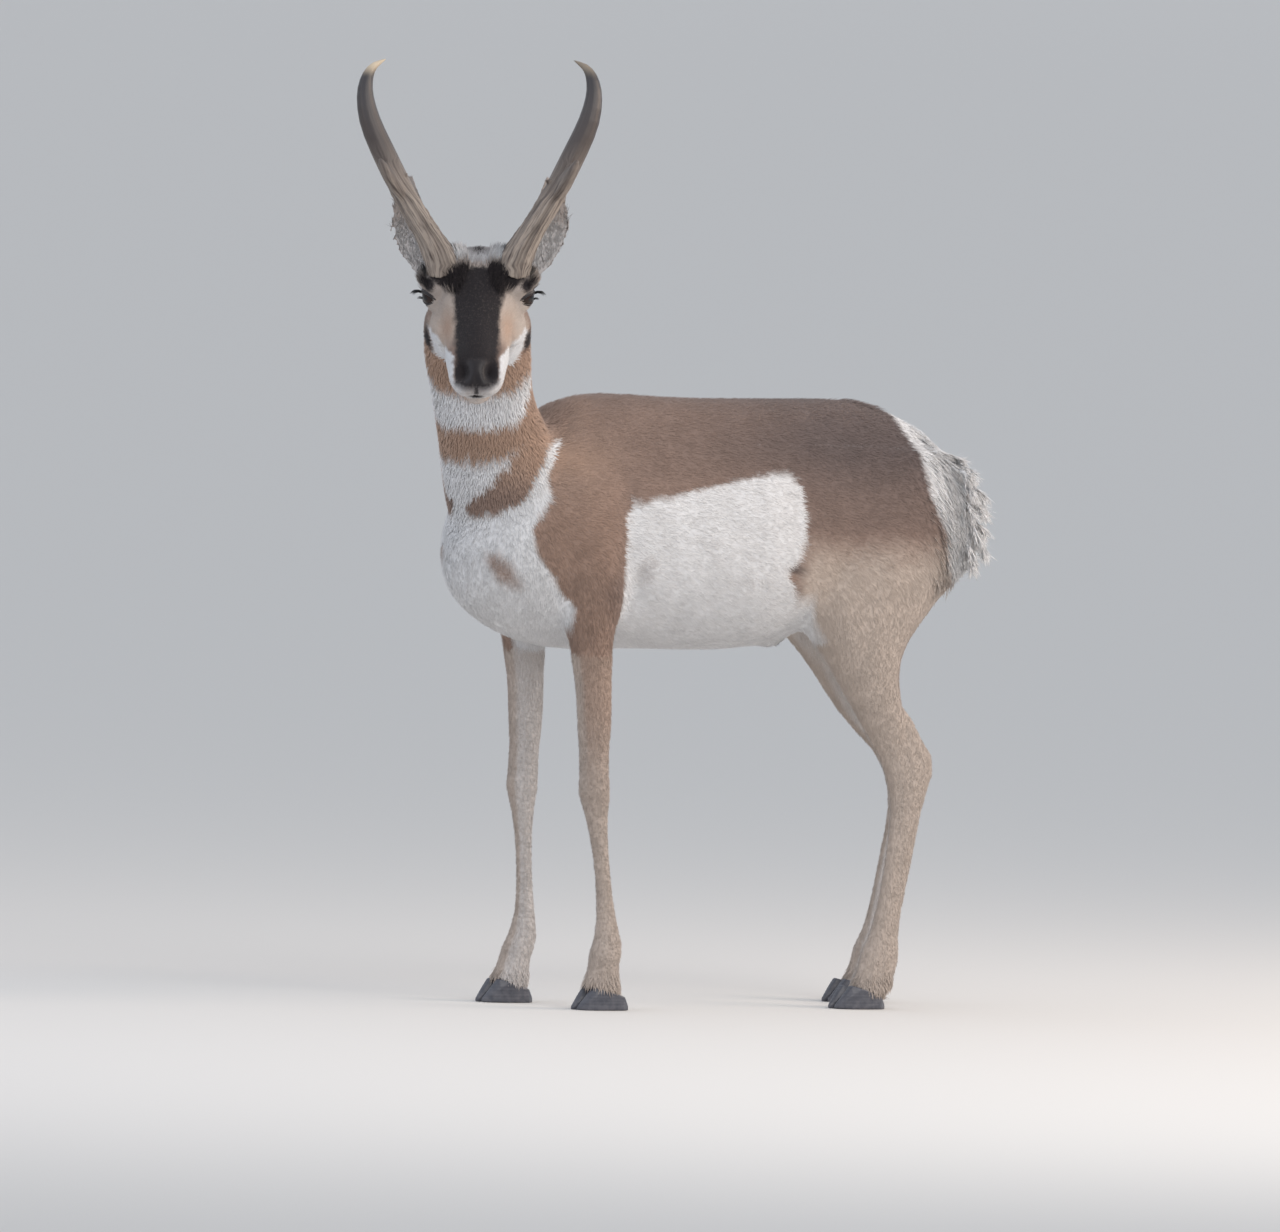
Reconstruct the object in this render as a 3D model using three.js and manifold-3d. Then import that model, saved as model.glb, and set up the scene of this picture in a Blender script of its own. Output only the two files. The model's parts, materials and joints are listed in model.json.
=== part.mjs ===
// A life-size pronghorn buck, standing with its head turned to its left.
// Millimetres, +Z up. The animal faces -Y and its left side is +X. It is laid out from the point
// on the ground under the withers, and then moved so that the origin is on the ground under the
// middle of the whole animal.
import * as THREE from "three";
import { mergeVertices } from "three/addons/utils/BufferGeometryUtils.js";
import Module from "manifold-3d";

const wasm = await Module();
wasm.setup();

// Driving dimensions
const WITHERS = 860; // height of the shoulders
const BREAST = -217; // foremost point of the chest
const RUMP = 648; // rearmost point of the body without the tail
const BELLY_CUT = 496; // height just under the belly, where the forelegs begin
const LEG_CUT = 306; // height of the joint between upper and lower leg
const FORE_FOOT = new THREE.Vector3(88, 1, 0); // middle of the left fore hoof on the ground
const HIND_FOOT = new THREE.Vector3(74, 451, 0); // middle of the left hind hoof on the ground
const FORE_STEP = -41; // how far the right forefoot stands ahead of the left one
const HIND_STEP = 94; // how far the right hind foot stands behind the left one
const CORONET = 27; // height of the upper edge of a hoof
const HEAD_PLACE = new THREE.Vector3(110, -262, 992); // midway between the eyes
const HEAD_TURN = 55; // degrees to the left of the body
const HEAD_PITCH = 38; // degrees that the face points down
const HEAD_LEAN = -1.5; // degrees that the head tips to its left
const EYE_PLACE = [57, -1, 3]; // sideways, back and up from midway between the eyes
const EYE_RADIUS = 20;
const GAP = 0.3; // kept between pieces that touch

const v = (x, y, z) => new THREE.Vector3(x, y, z);
const X = v(1, 0, 0);
const FORWARD = v(0, -1, 0);
const UP = v(0, 0, 1);
const LEFT = 1;
const RIGHT = -1;
const radians = THREE.MathUtils.degToRad;

// A closed geometry as a solid that can be joined and cut.
function solid(geometry) {
  const bare = geometry.clone();
  bare.deleteAttribute("normal");
  bare.deleteAttribute("uv");
  const merged = mergeVertices(bare, 1e-3);
  return new wasm.Manifold(
    new wasm.Mesh({
      numProp: 3,
      vertProperties: new Float32Array(merged.attributes.position.array),
      triVerts: new Uint32Array(merged.index.array),
    }),
  );
}

function geometryOf(piece) {
  const { vertProperties, triVerts } = piece.getMesh();
  const geometry = new THREE.BufferGeometry();
  geometry.setAttribute("position", new THREE.BufferAttribute(new Float32Array(vertProperties), 3));
  geometry.setIndex(new THREE.BufferAttribute(new Uint32Array(triVerts), 1));
  return geometry;
}

const joined = (pieces) => pieces.reduce((sum, piece) => sum.add(piece));

// The largest closed surface, without the scraps and hollows that joins and cuts leave.
const largest = (piece) => piece.decompose().sort((a, b) => b.volume() - a.volume())[0];

// Rows of numbers, resampled smoothly along the row's first column. With ease above 0 the samples
// lie closer together at both ends, where a form rounds off.
function resampled(rows, count, ease = 0) {
  const track = new THREE.CubicInterpolant(rows.map((row) => row[0]), rows.flat(), rows[0].length);
  const first = rows[0][0];
  const span = rows[rows.length - 1][0] - first;
  return Array.from({ length: count }, (_, i) => {
    const even = i / (count - 1);
    const rounded = (1 - Math.cos(Math.PI * even)) / 2;
    return [...track.evaluate(first + span * (even + ease * (rounded - even)))];
  });
}

// One closed ring round a centre: half-width w to each side, reach f to the front and r to the rear.
// An exponent of 2 gives an ellipse and a higher one a squarer section, n in front and m behind.
function ring({ centre, side = X, front = FORWARD, w, f, r = f, n = 2, m = n }, sides) {
  return Array.from({ length: sides }, (_, i) => {
    const angle = (2 * Math.PI * i) / sides;
    const c = Math.cos(angle);
    const s = Math.sin(angle);
    const power = 2 / (s >= 0 ? n : m);
    const across = w * Math.sign(c) * Math.abs(c) ** power;
    const along = (s >= 0 ? f : r) * Math.sign(s) * Math.abs(s) ** power;
    return centre.clone().addScaledVector(side, across).addScaledVector(front, along);
  });
}

// A skin over rings of equal count, closed by a fan at each end.
function loft(rings) {
  const sides = rings[0].length;
  const points = rings.flat();
  const faces = [];
  for (let k = 0; k + 1 < rings.length; k++) {
    for (let i = 0; i < sides; i++) {
      const j = (i + 1) % sides;
      const [a, b, c, d] = [k * sides + i, k * sides + j, (k + 1) * sides + j, (k + 1) * sides + i];
      faces.push([a, b, c], [a, c, d]);
    }
  }
  for (const k of [0, rings.length - 1]) {
    const hub = points.length;
    points.push(rings[k].reduce((sum, p) => sum.add(p), v(0, 0, 0)).divideScalar(sides));
    for (let i = 0; i < sides; i++) {
      const [a, b] = [k * sides + i, k * sides + ((i + 1) % sides)];
      faces.push(k === 0 ? [hub, b, a] : [hub, a, b]);
    }
  }
  const shaped = (order) => {
    const geometry = new THREE.BufferGeometry().setFromPoints(points);
    geometry.setIndex(faces.flatMap((face) => order.map((corner) => face[corner])));
    return solid(geometry);
  };
  const made = shaped([0, 1, 2]);
  return made.volume() > 0 ? made : shaped([0, 2, 1]);
}

// A tube through stations of [distance, point, half-width, half-depth], its depth lying to `front`.
// Grown, it is the socket that the same tube fits into.
function tube(stations, front, count, sides, grow = 0) {
  const path = resampled(
    stations.map(([t, p, w, d]) => [t, p.x, p.y, p.z, w, d]),
    count,
  );
  return loft(
    path.map(([, x, y, z, w, d], i) => {
      const [, nx, ny, nz] = path[Math.min(i + 1, path.length - 1)];
      const [, lx, ly, lz] = path[Math.max(i - 1, 0)];
      const along = v(nx - lx, ny - ly, nz - lz).normalize();
      const deep = front.clone().addScaledVector(along, -front.dot(along)).normalize();
      const centre = v(x, y, z).addScaledVector(along, i === 0 ? -grow : 0);
      const side = v(0, 0, 0).crossVectors(along, deep);
      return ring({ centre, side, front: deep, w: w + grow, f: d + grow }, sides);
    }),
  );
}

// An ellipsoid of the given radii.
const ball = (centre, radii, around = 12) =>
  solid(
    new THREE.SphereGeometry(1, around, Math.round(around * 0.6))
      .rotateX(Math.PI / 2)
      .scale(...radii)
      .translate(...centre),
  );

// A block that fills the space on the far side of a plane, for cutting with.
function beyond(normal, point, lift = 0) {
  const size = 3000;
  const block = new THREE.BoxGeometry(size, size, size).translate(0, 0, size / 2);
  const n = normal.clone().normalize();
  block.applyQuaternion(new THREE.Quaternion().setFromUnitVectors(UP, n));
  const foot = point.clone().addScaledVector(n, lift);
  return solid(block.translate(foot.x, foot.y, foot.z));
}

// Parts a body at a plane: the piece that the normal points into and the piece behind.
function parted(body, normal, point) {
  return [largest(body.intersect(beyond(normal, point, GAP))), largest(body.subtract(beyond(normal, point)))];
}

// A piece that stands on the flesh: cut to its surface, with the gap on the side it rises to.
function seated(piece, rise) {
  const { x, y, z } = rise.clone().setLength(GAP);
  return piece.subtract(flesh).subtract(flesh.translate(x, y, z));
}

// Random numbers from 0 to 1, the same ones in every run.
function randomFrom(seed) {
  let state = seed;
  return () => {
    state = (state * 1664525 + 1013904223) % 4294967296;
    return state / 4294967296;
  };
}

// The place on a body's skin that is seen from outside along a direction, with its normal.
function skinPlace(mesh, inside, direction) {
  const d = direction.clone().normalize();
  const caster = new THREE.Raycaster(inside.clone().addScaledVector(d, 900), d.clone().negate());
  const { point, face } = caster.intersectObject(mesh)[0];
  return { point, normal: face.normal.clone() };
}

// A flat, tapered lock of hair, rooted deep in the flesh, that lifts off it and bends back.
function lock({ point, normal }, lie, length, width, lift) {
  const flow = lie.clone().addScaledVector(normal, -lie.dot(normal)).normalize();
  const at = (along, out) => point.clone().addScaledVector(flow, along * length).addScaledVector(normal, out);
  const stations = [
    [0, at(-0.2, -14), width * 0.3, 3],
    [1, at(0.12, 1), width * 0.5, 3],
    [2, at(0.62, lift), width * 0.36, 2.2],
    [3, at(1, lift * 1.05), 0.8, 0.6],
  ];
  return tube(stations, normal, 4, 4);
}

// The long hair of the rump, in rows down both sides of the tail.
function rumpLocks(mesh) {
  const random = randomFrom(7);
  const locks = [];
  for (let row = 0; row < 7; row++) {
    const rise = radians(52 - row * 13);
    for (let column = 0; column < 4; column++) {
      const turn = radians(17 + column * 15 + (row % 2) * 6);
      for (const side of [LEFT, RIGHT]) {
        const sway = (random() - 0.5) * 0.08;
        const out = v(side * Math.sin(turn + sway) * Math.cos(rise), Math.cos(turn) * Math.cos(rise), Math.sin(rise + sway));
        const place = skinPlace(mesh, v(0, 540, 705), out);
        const lie = v(side * (0.25 + random() * 0.3), 0.3, -1);
        locks.push(lock(place, lie, 40 + random() * 10, 20 + random() * 6, 11 + random() * 4));
      }
    }
  }
  return locks;
}

// The short mane down the nape.
function napeLocks(mesh) {
  const random = randomFrom(3);
  return Array.from({ length: 8 }, (_, i) => {
    const u = i / 7;
    const inside = v(35, -200, 862).lerp(v(54, -222, 962), u);
    const turn = radians(40 + 13 * u + (random() - 0.5) * 14);
    const place = skinPlace(mesh, inside, v(-Math.sin(turn), Math.cos(turn), 0.1));
    return lock(place, v(0, 0.2, -1), 30 + random() * 8, 20, 10);
  });
}

// The trunk from breast to rump: y, height of the widest place, half-width, spine height, belly
// height, and the exponents of the upper and the lower half.
function trunk() {
  const rows = [
    [BREAST, 628, 12, 642, 612, 2, 2],
    [BREAST + 14, 630, 50, 684, 576, 2, 2],
    [BREAST + 44, 638, 86, 745, 545, 2, 2],
    [-130, 645, 106, 792, 520, 2, 2],
    [-80, 650, 116, 832, 504, 1.9, 2],
    [-30, 655, 119, WITHERS - 6, 498, 1.8, 2],
    [20, 655, 119, WITHERS, 498, 1.8, 2.1],
    [90, 650, 124, WITHERS - 2, 499, 1.9, 2.1],
    [170, 643, 132, WITHERS - 5, 498, 2, 2.1],
    [250, 640, 137, WITHERS - 5, 500, 2.1, 2.1],
    [320, 648, 132, WITHERS - 4, 510, 2.1, 2],
    [380, 665, 120, WITHERS - 3, 530, 2, 2],
    [440, 685, 112, WITHERS - 4, 558, 1.9, 2],
    [500, 695, 108, 845, 585, 1.9, 2],
    [550, 700, 101, 824, 605, 1.9, 2],
    [592, 702, 86, 790, 622, 1.9, 2],
    [622, 700, 64, 756, 640, 2, 2],
    [640, 696, 36, 725, 662, 2, 2],
    [RUMP, 692, 10, 700, 684, 2, 2],
  ];
  return loft(
    resampled(rows, 28, 0.7).map(([y, z, w, top, bottom, n, m]) =>
      ring({ centre: v(0, y, z), front: UP, w, f: top - z, r: z - bottom, n, m }, 28),
    ),
  );
}

// The neck from inside the chest to inside the skull: height, x, y, half-width, reach to the throat,
// reach to the nape, and turn to the left in degrees.
function neck() {
  const rows = [
    [640, 0, -70, 88, 92, 88, 0],
    [700, 3, -110, 90, 100, 98, 3],
    [750, 10, -145, 84, 84, 92, 12],
    [796, 22, -172, 77, 68, 86, 24],
    [838, 32, -194, 72, 56, 81, 36],
    [880, 41, -209, 74, 45, 77, 46],
    [925, 49, -219, 77, 38, 70, 53],
    [970, 57, -225, 71, 40, 61, 55],
    [1005, 62, -230, 48, 34, 45, 55],
    [1022, 65, -233, 20, 16, 20, 55],
  ];
  return loft(
    resampled(rows, 13).map(([z, x, y, w, f, r, degrees]) => {
      const turn = radians(degrees);
      const side = v(Math.cos(turn), Math.sin(turn), 0);
      const front = v(Math.sin(turn), -Math.cos(turn), -0.3).normalize();
      return ring({ centre: v(x, y, z), side, front, w, f, r }, 22);
    }),
  );
}

// The head has a frame of its own, with its origin midway between the eyes. It faces -Y there, and
// its left is +X. The horns and ears are laid out before the face is pitched down.
const uprightFrame = new THREE.Matrix4()
  .makeTranslation(HEAD_PLACE)
  .multiply(new THREE.Matrix4().makeRotationZ(radians(HEAD_TURN)))
  .multiply(new THREE.Matrix4().makeRotationY(radians(HEAD_LEAN)));
const faceFrame = uprightFrame.clone().multiply(new THREE.Matrix4().makeRotationX(radians(HEAD_PITCH)));

// A tube along the face: distance ahead of the eyes, height of the widest place, half-width, top and
// bottom, and the exponents of the upper and lower half.
const alongFace = (rows, count, sides) =>
  loft(
    resampled(rows, count, 0.6).map(([ahead, z, w, top, bottom, n, m]) =>
      ring({ centre: v(0, -ahead, z), front: UP, w, f: top - z, r: z - bottom, n, m }, sides),
    ),
  );

const skull = () =>
  alongFace(
    [
      [-92, -8, 24, 8, -32, 2, 2],
      [-78, -8, 44, 24, -60, 2, 2],
      [-50, -5, 59, 43, -84, 2.1, 2],
      [-20, 0, 63, 47, -90, 2.2, 2],
      [8, 2, 60, 43, -88, 2.2, 2],
      [35, 0, 52, 37, -80, 2.2, 2],
      [65, -2, 44, 32, -66, 2.2, 2.1],
      [95, -4, 38.5, 28, -50, 2.2, 2.2],
      [125, -6, 36, 25, -41, 2.2, 2.3],
      [150, -9, 37, 22, -38, 2.2, 2.3],
      [170, -11, 37, 17, -36, 2.2, 2.3],
      [184, -12, 32, 9, -34, 2.2, 2.2],
      [192, -13, 21, 0, -28, 2, 2],
      [196, -13, 8, -8, -19, 2, 2],
    ],
    20,
    22,
  );

const lowerJaw = () =>
  alongFace(
    [
      [-30, -70, 36, -46, -98, 2.2, 2],
      [10, -68, 41, -40, -97, 2.4, 2],
      [45, -60, 36, -34, -88, 2.8, 2],
      [80, -52, 29, -32, -76, 3, 2],
      [110, -46, 26, -31, -68, 3, 2],
      [140, -44, 25, -31, -63, 3, 2],
      [160, -44, 22, -32, -60, 3, 2],
      [172, -45, 14, -36, -56, 2.4, 2],
      [177, -46, 5, -42, -51, 2, 2],
    ],
    11,
    12,
  );

// The flesh of the head: skull, jaw, cheeks and brows, with the lids, nostrils and mouth cut in.
function headFlesh() {
  const mirrored = (place, radii, around) =>
    [LEFT, RIGHT].map((side) => ball([side * place[0], place[1], place[2]], radii, around));
  const forms = [
    ...mirrored([31, -2, -46], [27, 60, 43], 12), // jaw muscle
    ...mirrored([41, -24, -16], [18, 56, 15], 10), // cheekbone
    ...mirrored([56, 1, 7], [25, 30, 25], 12), // rim of the eye socket
    ...mirrored([60, 0, 18], [20, 24, 8], 10), // upper lid
    ...mirrored([45, 16, 34], [25, 30, 22], 10), // foot of the horn
    ...mirrored([53, 54, -19], [20, 23, 24], 10), // foot of the ear
    ...mirrored([16, -181, -14], [15, 15, 15], 10), // wing of the nostril
  ];
  const hollows = [
    ...mirrored(EYE_PLACE, Array(3).fill(EYE_RADIUS + GAP), 14),
    ...mirrored([82, -7, 3], [21, 20, 12.5], 12), // opening between the lids
    ...mirrored([15, -196, -9], [6, 9, 4.2], 8), // nostril
  ];
  const mouth = ball([0, -150, -33], [44, 60, 1.5], 16).subtract(ball([0, -140, -33], [27, 50, 8], 10));
  return joined([skull(), lowerJaw(), ...forms]).subtract(joined(hollows)).subtract(mouth);
}

// How far each right leg stands behind the left one's pose, by height above the ground.
const SAME_POSE = [
  [-900, 0],
  [0, 0],
];
const RIGHT_FORE_POSE = [
  [-900, 6],
  [-500, 8],
  [-350, 0],
  [-213, -12],
  [-100, -23],
  [-30, FORE_STEP + 6],
  [0, FORE_STEP],
];
const RIGHT_HIND_POSE = [
  [-900, 0],
  [-700, 0],
  [-600, 40],
  [-500, HIND_STEP - 22],
  [-400, HIND_STEP - 16],
  [-340, HIND_STEP + 2],
  [-200, HIND_STEP - 2],
  [0, HIND_STEP],
];

// A leg from rows of depth below the ground's zero (so minus the height), front edge, rear edge,
// sideways place and half-width.
function leg(rows, side, pose, count, sides) {
  const shift = new THREE.CubicInterpolant(pose.map((row) => row[0]), pose.map((row) => row[1]), 1);
  return loft(
    resampled(rows, count).map(([down, ahead, behind, x, w]) => {
      const middle = (ahead + behind) / 2 + shift.evaluate(down)[0];
      return ring({ centre: v(side * x, middle, -down), w, f: (behind - ahead) / 2, n: 2.1 }, sides);
    }),
  );
}

const hindLeg = (side) =>
  leg(
    [
      [-790, 430, 570, 52, 42],
      [-750, 380, 606, 57, 56],
      [-700, 340, 627, 60, 63],
      [-650, 316, 632, 62, 66],
      [-613, 306, 612, 65, 63],
      [-592, 307, 583, 67, 60],
      [-555, 322, 546, 73, 54],
      [-520, 345, 513, 78, 46],
      [-490, 372, 498, 79, 40],
      [-460, 396, 498, 79, 34],
      [-435, 414, 508, 77, 29],
      [-405, 437, 530, 75, 24],
      [-380, 457, 547, 72, 21.5],
      [-355, 476, 565, 70, 20.5],
      [-335, 487, 569, 70, 20.5],
      [-312, 495, 563, 70, 19.5],
      [-290, 500, 555, 70, 17.5],
      [-250, 499, 547, 70, 15],
      [-205, 492, 539, 71, 14],
      [-150, 482, 526, 72, 14],
      [-119, 475, 520, 72, 15],
      [-96, 467, 517, 73, 18],
      [-75, 459, 515, 73, 20],
      [-50, 449, 514, 74, 22],
      [-32, 442, 505, 74, 24],
      [-16, 436, 488, 74, 24],
      [-6, 434, 482, 74, 24],
    ],
    side,
    side === LEFT ? SAME_POSE : RIGHT_HIND_POSE,
    30,
    12,
  );

const foreLeg = (side) =>
  leg(
    [
      [-810, -10, 70, 44, 24],
      [-770, -52, 88, 56, 38],
      [-700, -98, 84, 66, 47],
      [-640, -114, 62, 73, 47],
      [-590, -104, 34, 80, 40],
      [-550, -86, 10, 85, 33],
      [-515, -73, -1, 88, 30],
      [-460, -59, -1, 88, 26],
      [-403, -51, 1, 87, 23],
      [-361, -45, -1, 86, 21],
      [-340, -43.5, -0.5, 86, 21],
      [-312, -43, 1, 86, 21.5],
      [-291, -39, 1, 86, 19],
      [-270, -32, 2, 86, 15.5],
      [-235, -23, 5, 86, 12.5],
      [-193, -15.5, 11.5, 86, 11.5],
      [-151, -10.5, 18.5, 86, 12],
      [-123, -8.5, 24.5, 86, 13.5],
      [-102, -10, 30, 87, 17],
      [-86, -13, 31, 87, 19],
      [-67, -17.5, 27.5, 88, 20],
      [-46, -22.5, 26.5, 88, 22],
      [-30, -27, 31, 88, 24],
      [-16, -26, 30, 88, 24],
      [-6, -26, 30, 88, 24],
    ],
    side,
    side === LEFT ? SAME_POSE : RIGHT_FORE_POSE,
    28,
    12,
  );

// One claw of a hoof, with its sole flat on the ground: distance ahead, half-width and height.
function claw(foot, inner) {
  const rows = [
    [-37, 4, 8],
    [-31, 9.5, 22],
    [-14, 12, 40],
    [6, 12, 42],
    [20, 11, 33],
    [33, 8, 17],
    [43, 2.5, 5],
  ];
  const made = loft(
    resampled(rows, 8).map(([ahead, w, top]) => {
      const toe = Math.max(0, ahead) / 43;
      const centre = v(foot.x + inner * (12.5 - 5 * toe * toe), foot.y - ahead, 0);
      return ring({ centre, front: UP, w, f: top, r: 6, n: 2.4 }, 10);
    }),
  );
  return made.intersect(beyond(UP, v(0, 0, 0)));
}

// A horn with its forward prong: height above the eyes, sideways place, distance ahead, half-width
// and half-depth.
function horn(side, grow = 0) {
  const shaft = [
    [34, 48, 12, 23, 28],
    [55, 54, 18, 22, 28],
    [90, 73, 26, 17.5, 27],
    [137, 101, 37, 16.5, 26],
    [192, 129, 44, 17, 24],
    [239, 150, 46, 15.5, 18],
    [275, 158, 42, 12.5, 13.5],
    [300, 156, 36, 9.5, 10.5],
    [317, 147, 30, 6, 7],
    [328, 129, 24, 1, 1.2],
  ].map(([up, out, ahead, w, d], i) => [i, v(side * out, -ahead, up), w, d]);
  const prong = [
    [0, v(side * 108, -40, 148), 13, 26],
    [1, v(side * 120, -64, 162), 11, 23],
    [2, v(side * 130, -84, 176), 8, 15],
    [3, v(side * 136, -93, 190), 3, 4],
  ];
  const blade = tube(prong, v(side * 0.5, 0, 0.86), 6, 10);
  return tube(shaft, FORWARD, 22, 12, grow).add(blade).transform(uprightFrame.elements);
}

// A cupped ear, open forward and outward: sideways place, distance behind the eyes, height,
// half-width, depth of the cup and thickness.
function ear(side) {
  const rows = [
    [0, 52, 56, 8, 17, 15, 13],
    [1, 66, 61, 38, 22, 20, 10],
    [2, 82, 64, 66, 30, 24, 7],
    [3, 92, 63, 96, 33, 22, 6],
    [4, 96, 58, 124, 29, 15, 5],
    [5, 97, 52, 148, 18, 8, 4],
    [6, 94, 46, 166, 3, 2, 2],
  ];
  const opening = v(side * 0.5, -0.86, 0.1).normalize();
  const path = resampled(rows, 12);
  const steps = 8;
  const rings = path.map(([, out, behind, up, w, cup, thick], i) => {
    const [, nextOut, nextBehind, nextUp] = path[Math.min(i + 1, path.length - 1)];
    const [, lastOut, lastBehind, lastUp] = path[Math.max(i - 1, 0)];
    const along = v(side * (nextOut - lastOut), nextBehind - lastBehind, nextUp - lastUp).normalize();
    const front = opening.clone().addScaledVector(along, -opening.dot(along)).normalize();
    const across = v(0, 0, 0).crossVectors(along, front);
    const place = (u, depth) =>
      v(side * out, behind, up)
        .addScaledVector(across, w * u)
        .addScaledVector(front, cup / 2 - depth * (1 - u * u));
    const back = Array.from({ length: steps + 1 }, (_, k) => place((2 * k) / steps - 1, cup));
    const bowl = Array.from({ length: steps - 1 }, (_, k) => place(1 - (2 * (k + 1)) / steps, cup - thick));
    return [...back, ...bowl];
  });
  return loft(rings).transform(uprightFrame.elements);
}

const tail = (grow = 0) =>
  tube(
    [
      [0, v(0, 592, 776), 14, 12],
      [1, v(0, 626, 760), 20, 14],
      [2, v(0, 649, 728), 24, 14],
      [3, v(0, 660, 692), 20, 12],
      [4, v(0, 660, 652), 4, 3],
    ],
    v(0, 1, 0.4).normalize(),
    11,
    12,
    grow,
  );

const FINISH = {
  coat: { color: 0xa9876a, roughness: 0.9 },
  white: { color: 0xe6e0d6, roughness: 0.95 },
  buff: { color: 0xc0a184, roughness: 0.9 },
  horn: { color: 0x4a4038, roughness: 0.55 },
  hoof: { color: 0x2b2a2e, roughness: 0.5 },
  eye: { color: 0x1c120c, roughness: 0.08 },
};
const materials = Object.fromEntries(
  Object.entries(FINISH).map(([name, look]) => [name, new THREE.MeshStandardMaterial({ ...look, metalness: 0 })]),
);

function meshOf(piece, material) {
  const clean = geometryOf(largest(solid(geometryOf(piece))));
  clean.computeVertexNormals();
  return new THREE.Mesh(clean, material);
}

const animal = new THREE.Group();
function show(name, piece, finish) {
  const mesh = meshOf(piece, materials[finish]);
  mesh.name = name;
  animal.add(mesh);
}

// The flesh is one body first, and then parted into its members.
const legs = { fore: [foreLeg(LEFT), foreLeg(RIGHT)], hind: [hindLeg(LEFT), hindLeg(RIGHT)] };
const flesh = joined([
  trunk(),
  neck(),
  headFlesh().transform(faceFrame.elements),
  ...legs.fore,
  ...legs.hind,
]).subtract(joined([horn(LEFT, GAP), horn(RIGHT, GAP), tail(GAP)]));

const [aboveShoulders, belowNeck] = parted(flesh, v(0, -0.738, 0.674), v(0, -20, WITHERS + 2));
const [head, neckPiece] = parted(
  aboveShoulders,
  v(0, -0.84, 0.545).transformDirection(uprightFrame),
  v(0, 42, -105).applyMatrix4(uprightFrame),
);

// Under the belly only the legs are left: the cut is level ahead, and climbs with the flank behind.
const flank = v(0, 330, 500);
const underBelly = (lift) =>
  beyond(v(0, 0, -1), v(0, 0, BELLY_CUT), -lift).subtract(beyond(v(0, 1, 0), v(0, 240, 0)));
const underFlank = (lift) =>
  beyond(v(0, 120, -290), flank, -lift).subtract(beyond(v(0, -1, 0), v(0, 240, 0)));

const torso = largest(belowNeck.subtract(underBelly(GAP)).subtract(underFlank(GAP)));

show("head", head, "coat");
show("neck", joined([neckPiece, ...napeLocks(meshOf(neckPiece))]), "coat");
const haired = joined([torso, ...rumpLocks(meshOf(torso))]);
show("torso", haired.subtract(underFlank(GAP)).subtract(tail(2 * GAP)), "coat");
show("tail", tail(), "white");

for (const [i, side] of [LEFT, RIGHT].entries()) {
  const name = side === LEFT ? "left" : "right";
  const limbs = [
    ["fore", underBelly(0), v(side * FORE_FOOT.x, FORE_FOOT.y + (side === LEFT ? 0 : FORE_STEP), 0)],
    ["hind", underFlank(0), v(side * HIND_FOOT.x, HIND_FOOT.y + (side === LEFT ? 0 : HIND_STEP), 0)],
  ];
  for (const [limb, under, foot] of limbs) {
    const [upper, lower] = parted(legs[limb][i].intersect(under), UP, v(0, 0, LEG_CUT));
    const slope = v(0, 0.3, 1);
    const edge = v(foot.x, foot.y, CORONET);
    show(`${limb}_leg_${name}_upper`, upper, "buff");
    show(`${limb}_leg_${name}_lower`, lower.intersect(beyond(slope, edge, GAP)), "buff");
    for (const [place, inner] of Object.entries({ inner: -side, outer: side })) {
      show(`${limb}_claw_${name}_${place}`, claw(foot, inner).subtract(beyond(slope, edge)), "hoof");
    }
  }
  show(`horn_${name}`, horn(side), "horn");
  show(`ear_${name}`, seated(ear(side), v(side * 0.7, 0, 0.7).transformDirection(uprightFrame)), "coat");
  const eye = ball([side * EYE_PLACE[0], EYE_PLACE[1], EYE_PLACE[2]], Array(3).fill(EYE_RADIUS), 14);
  show(`eye_${name}`, eye.transform(faceFrame.elements), "eye");
}

const box = new THREE.Box3().setFromObject(animal);
const middle = box.getCenter(v(0, 0, 0));
for (const mesh of animal.children) mesh.position.set(-middle.x, -middle.y, 0);
animal.updateMatrixWorld(true);

export default animal;
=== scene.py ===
"""Dresses a life-size pronghorn buck: hide, coat, eyes, horns and hooves, in soft studio light.

The animal faces -Y and its left side is +X. Places are given in millimetres, either from the
ground under the withers (the body frame) or from midway between the eyes (the face frame, in
which the face looks along -Y and its left is +X).
"""

from __future__ import annotations

import json
import logging
import math
from dataclasses import dataclass, field
from enum import Enum
from typing import Any, Iterable

import bmesh
import bpy
import numpy as np
from mathutils import Matrix, Vector
from mathutils.bvhtree import BVHTree

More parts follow.
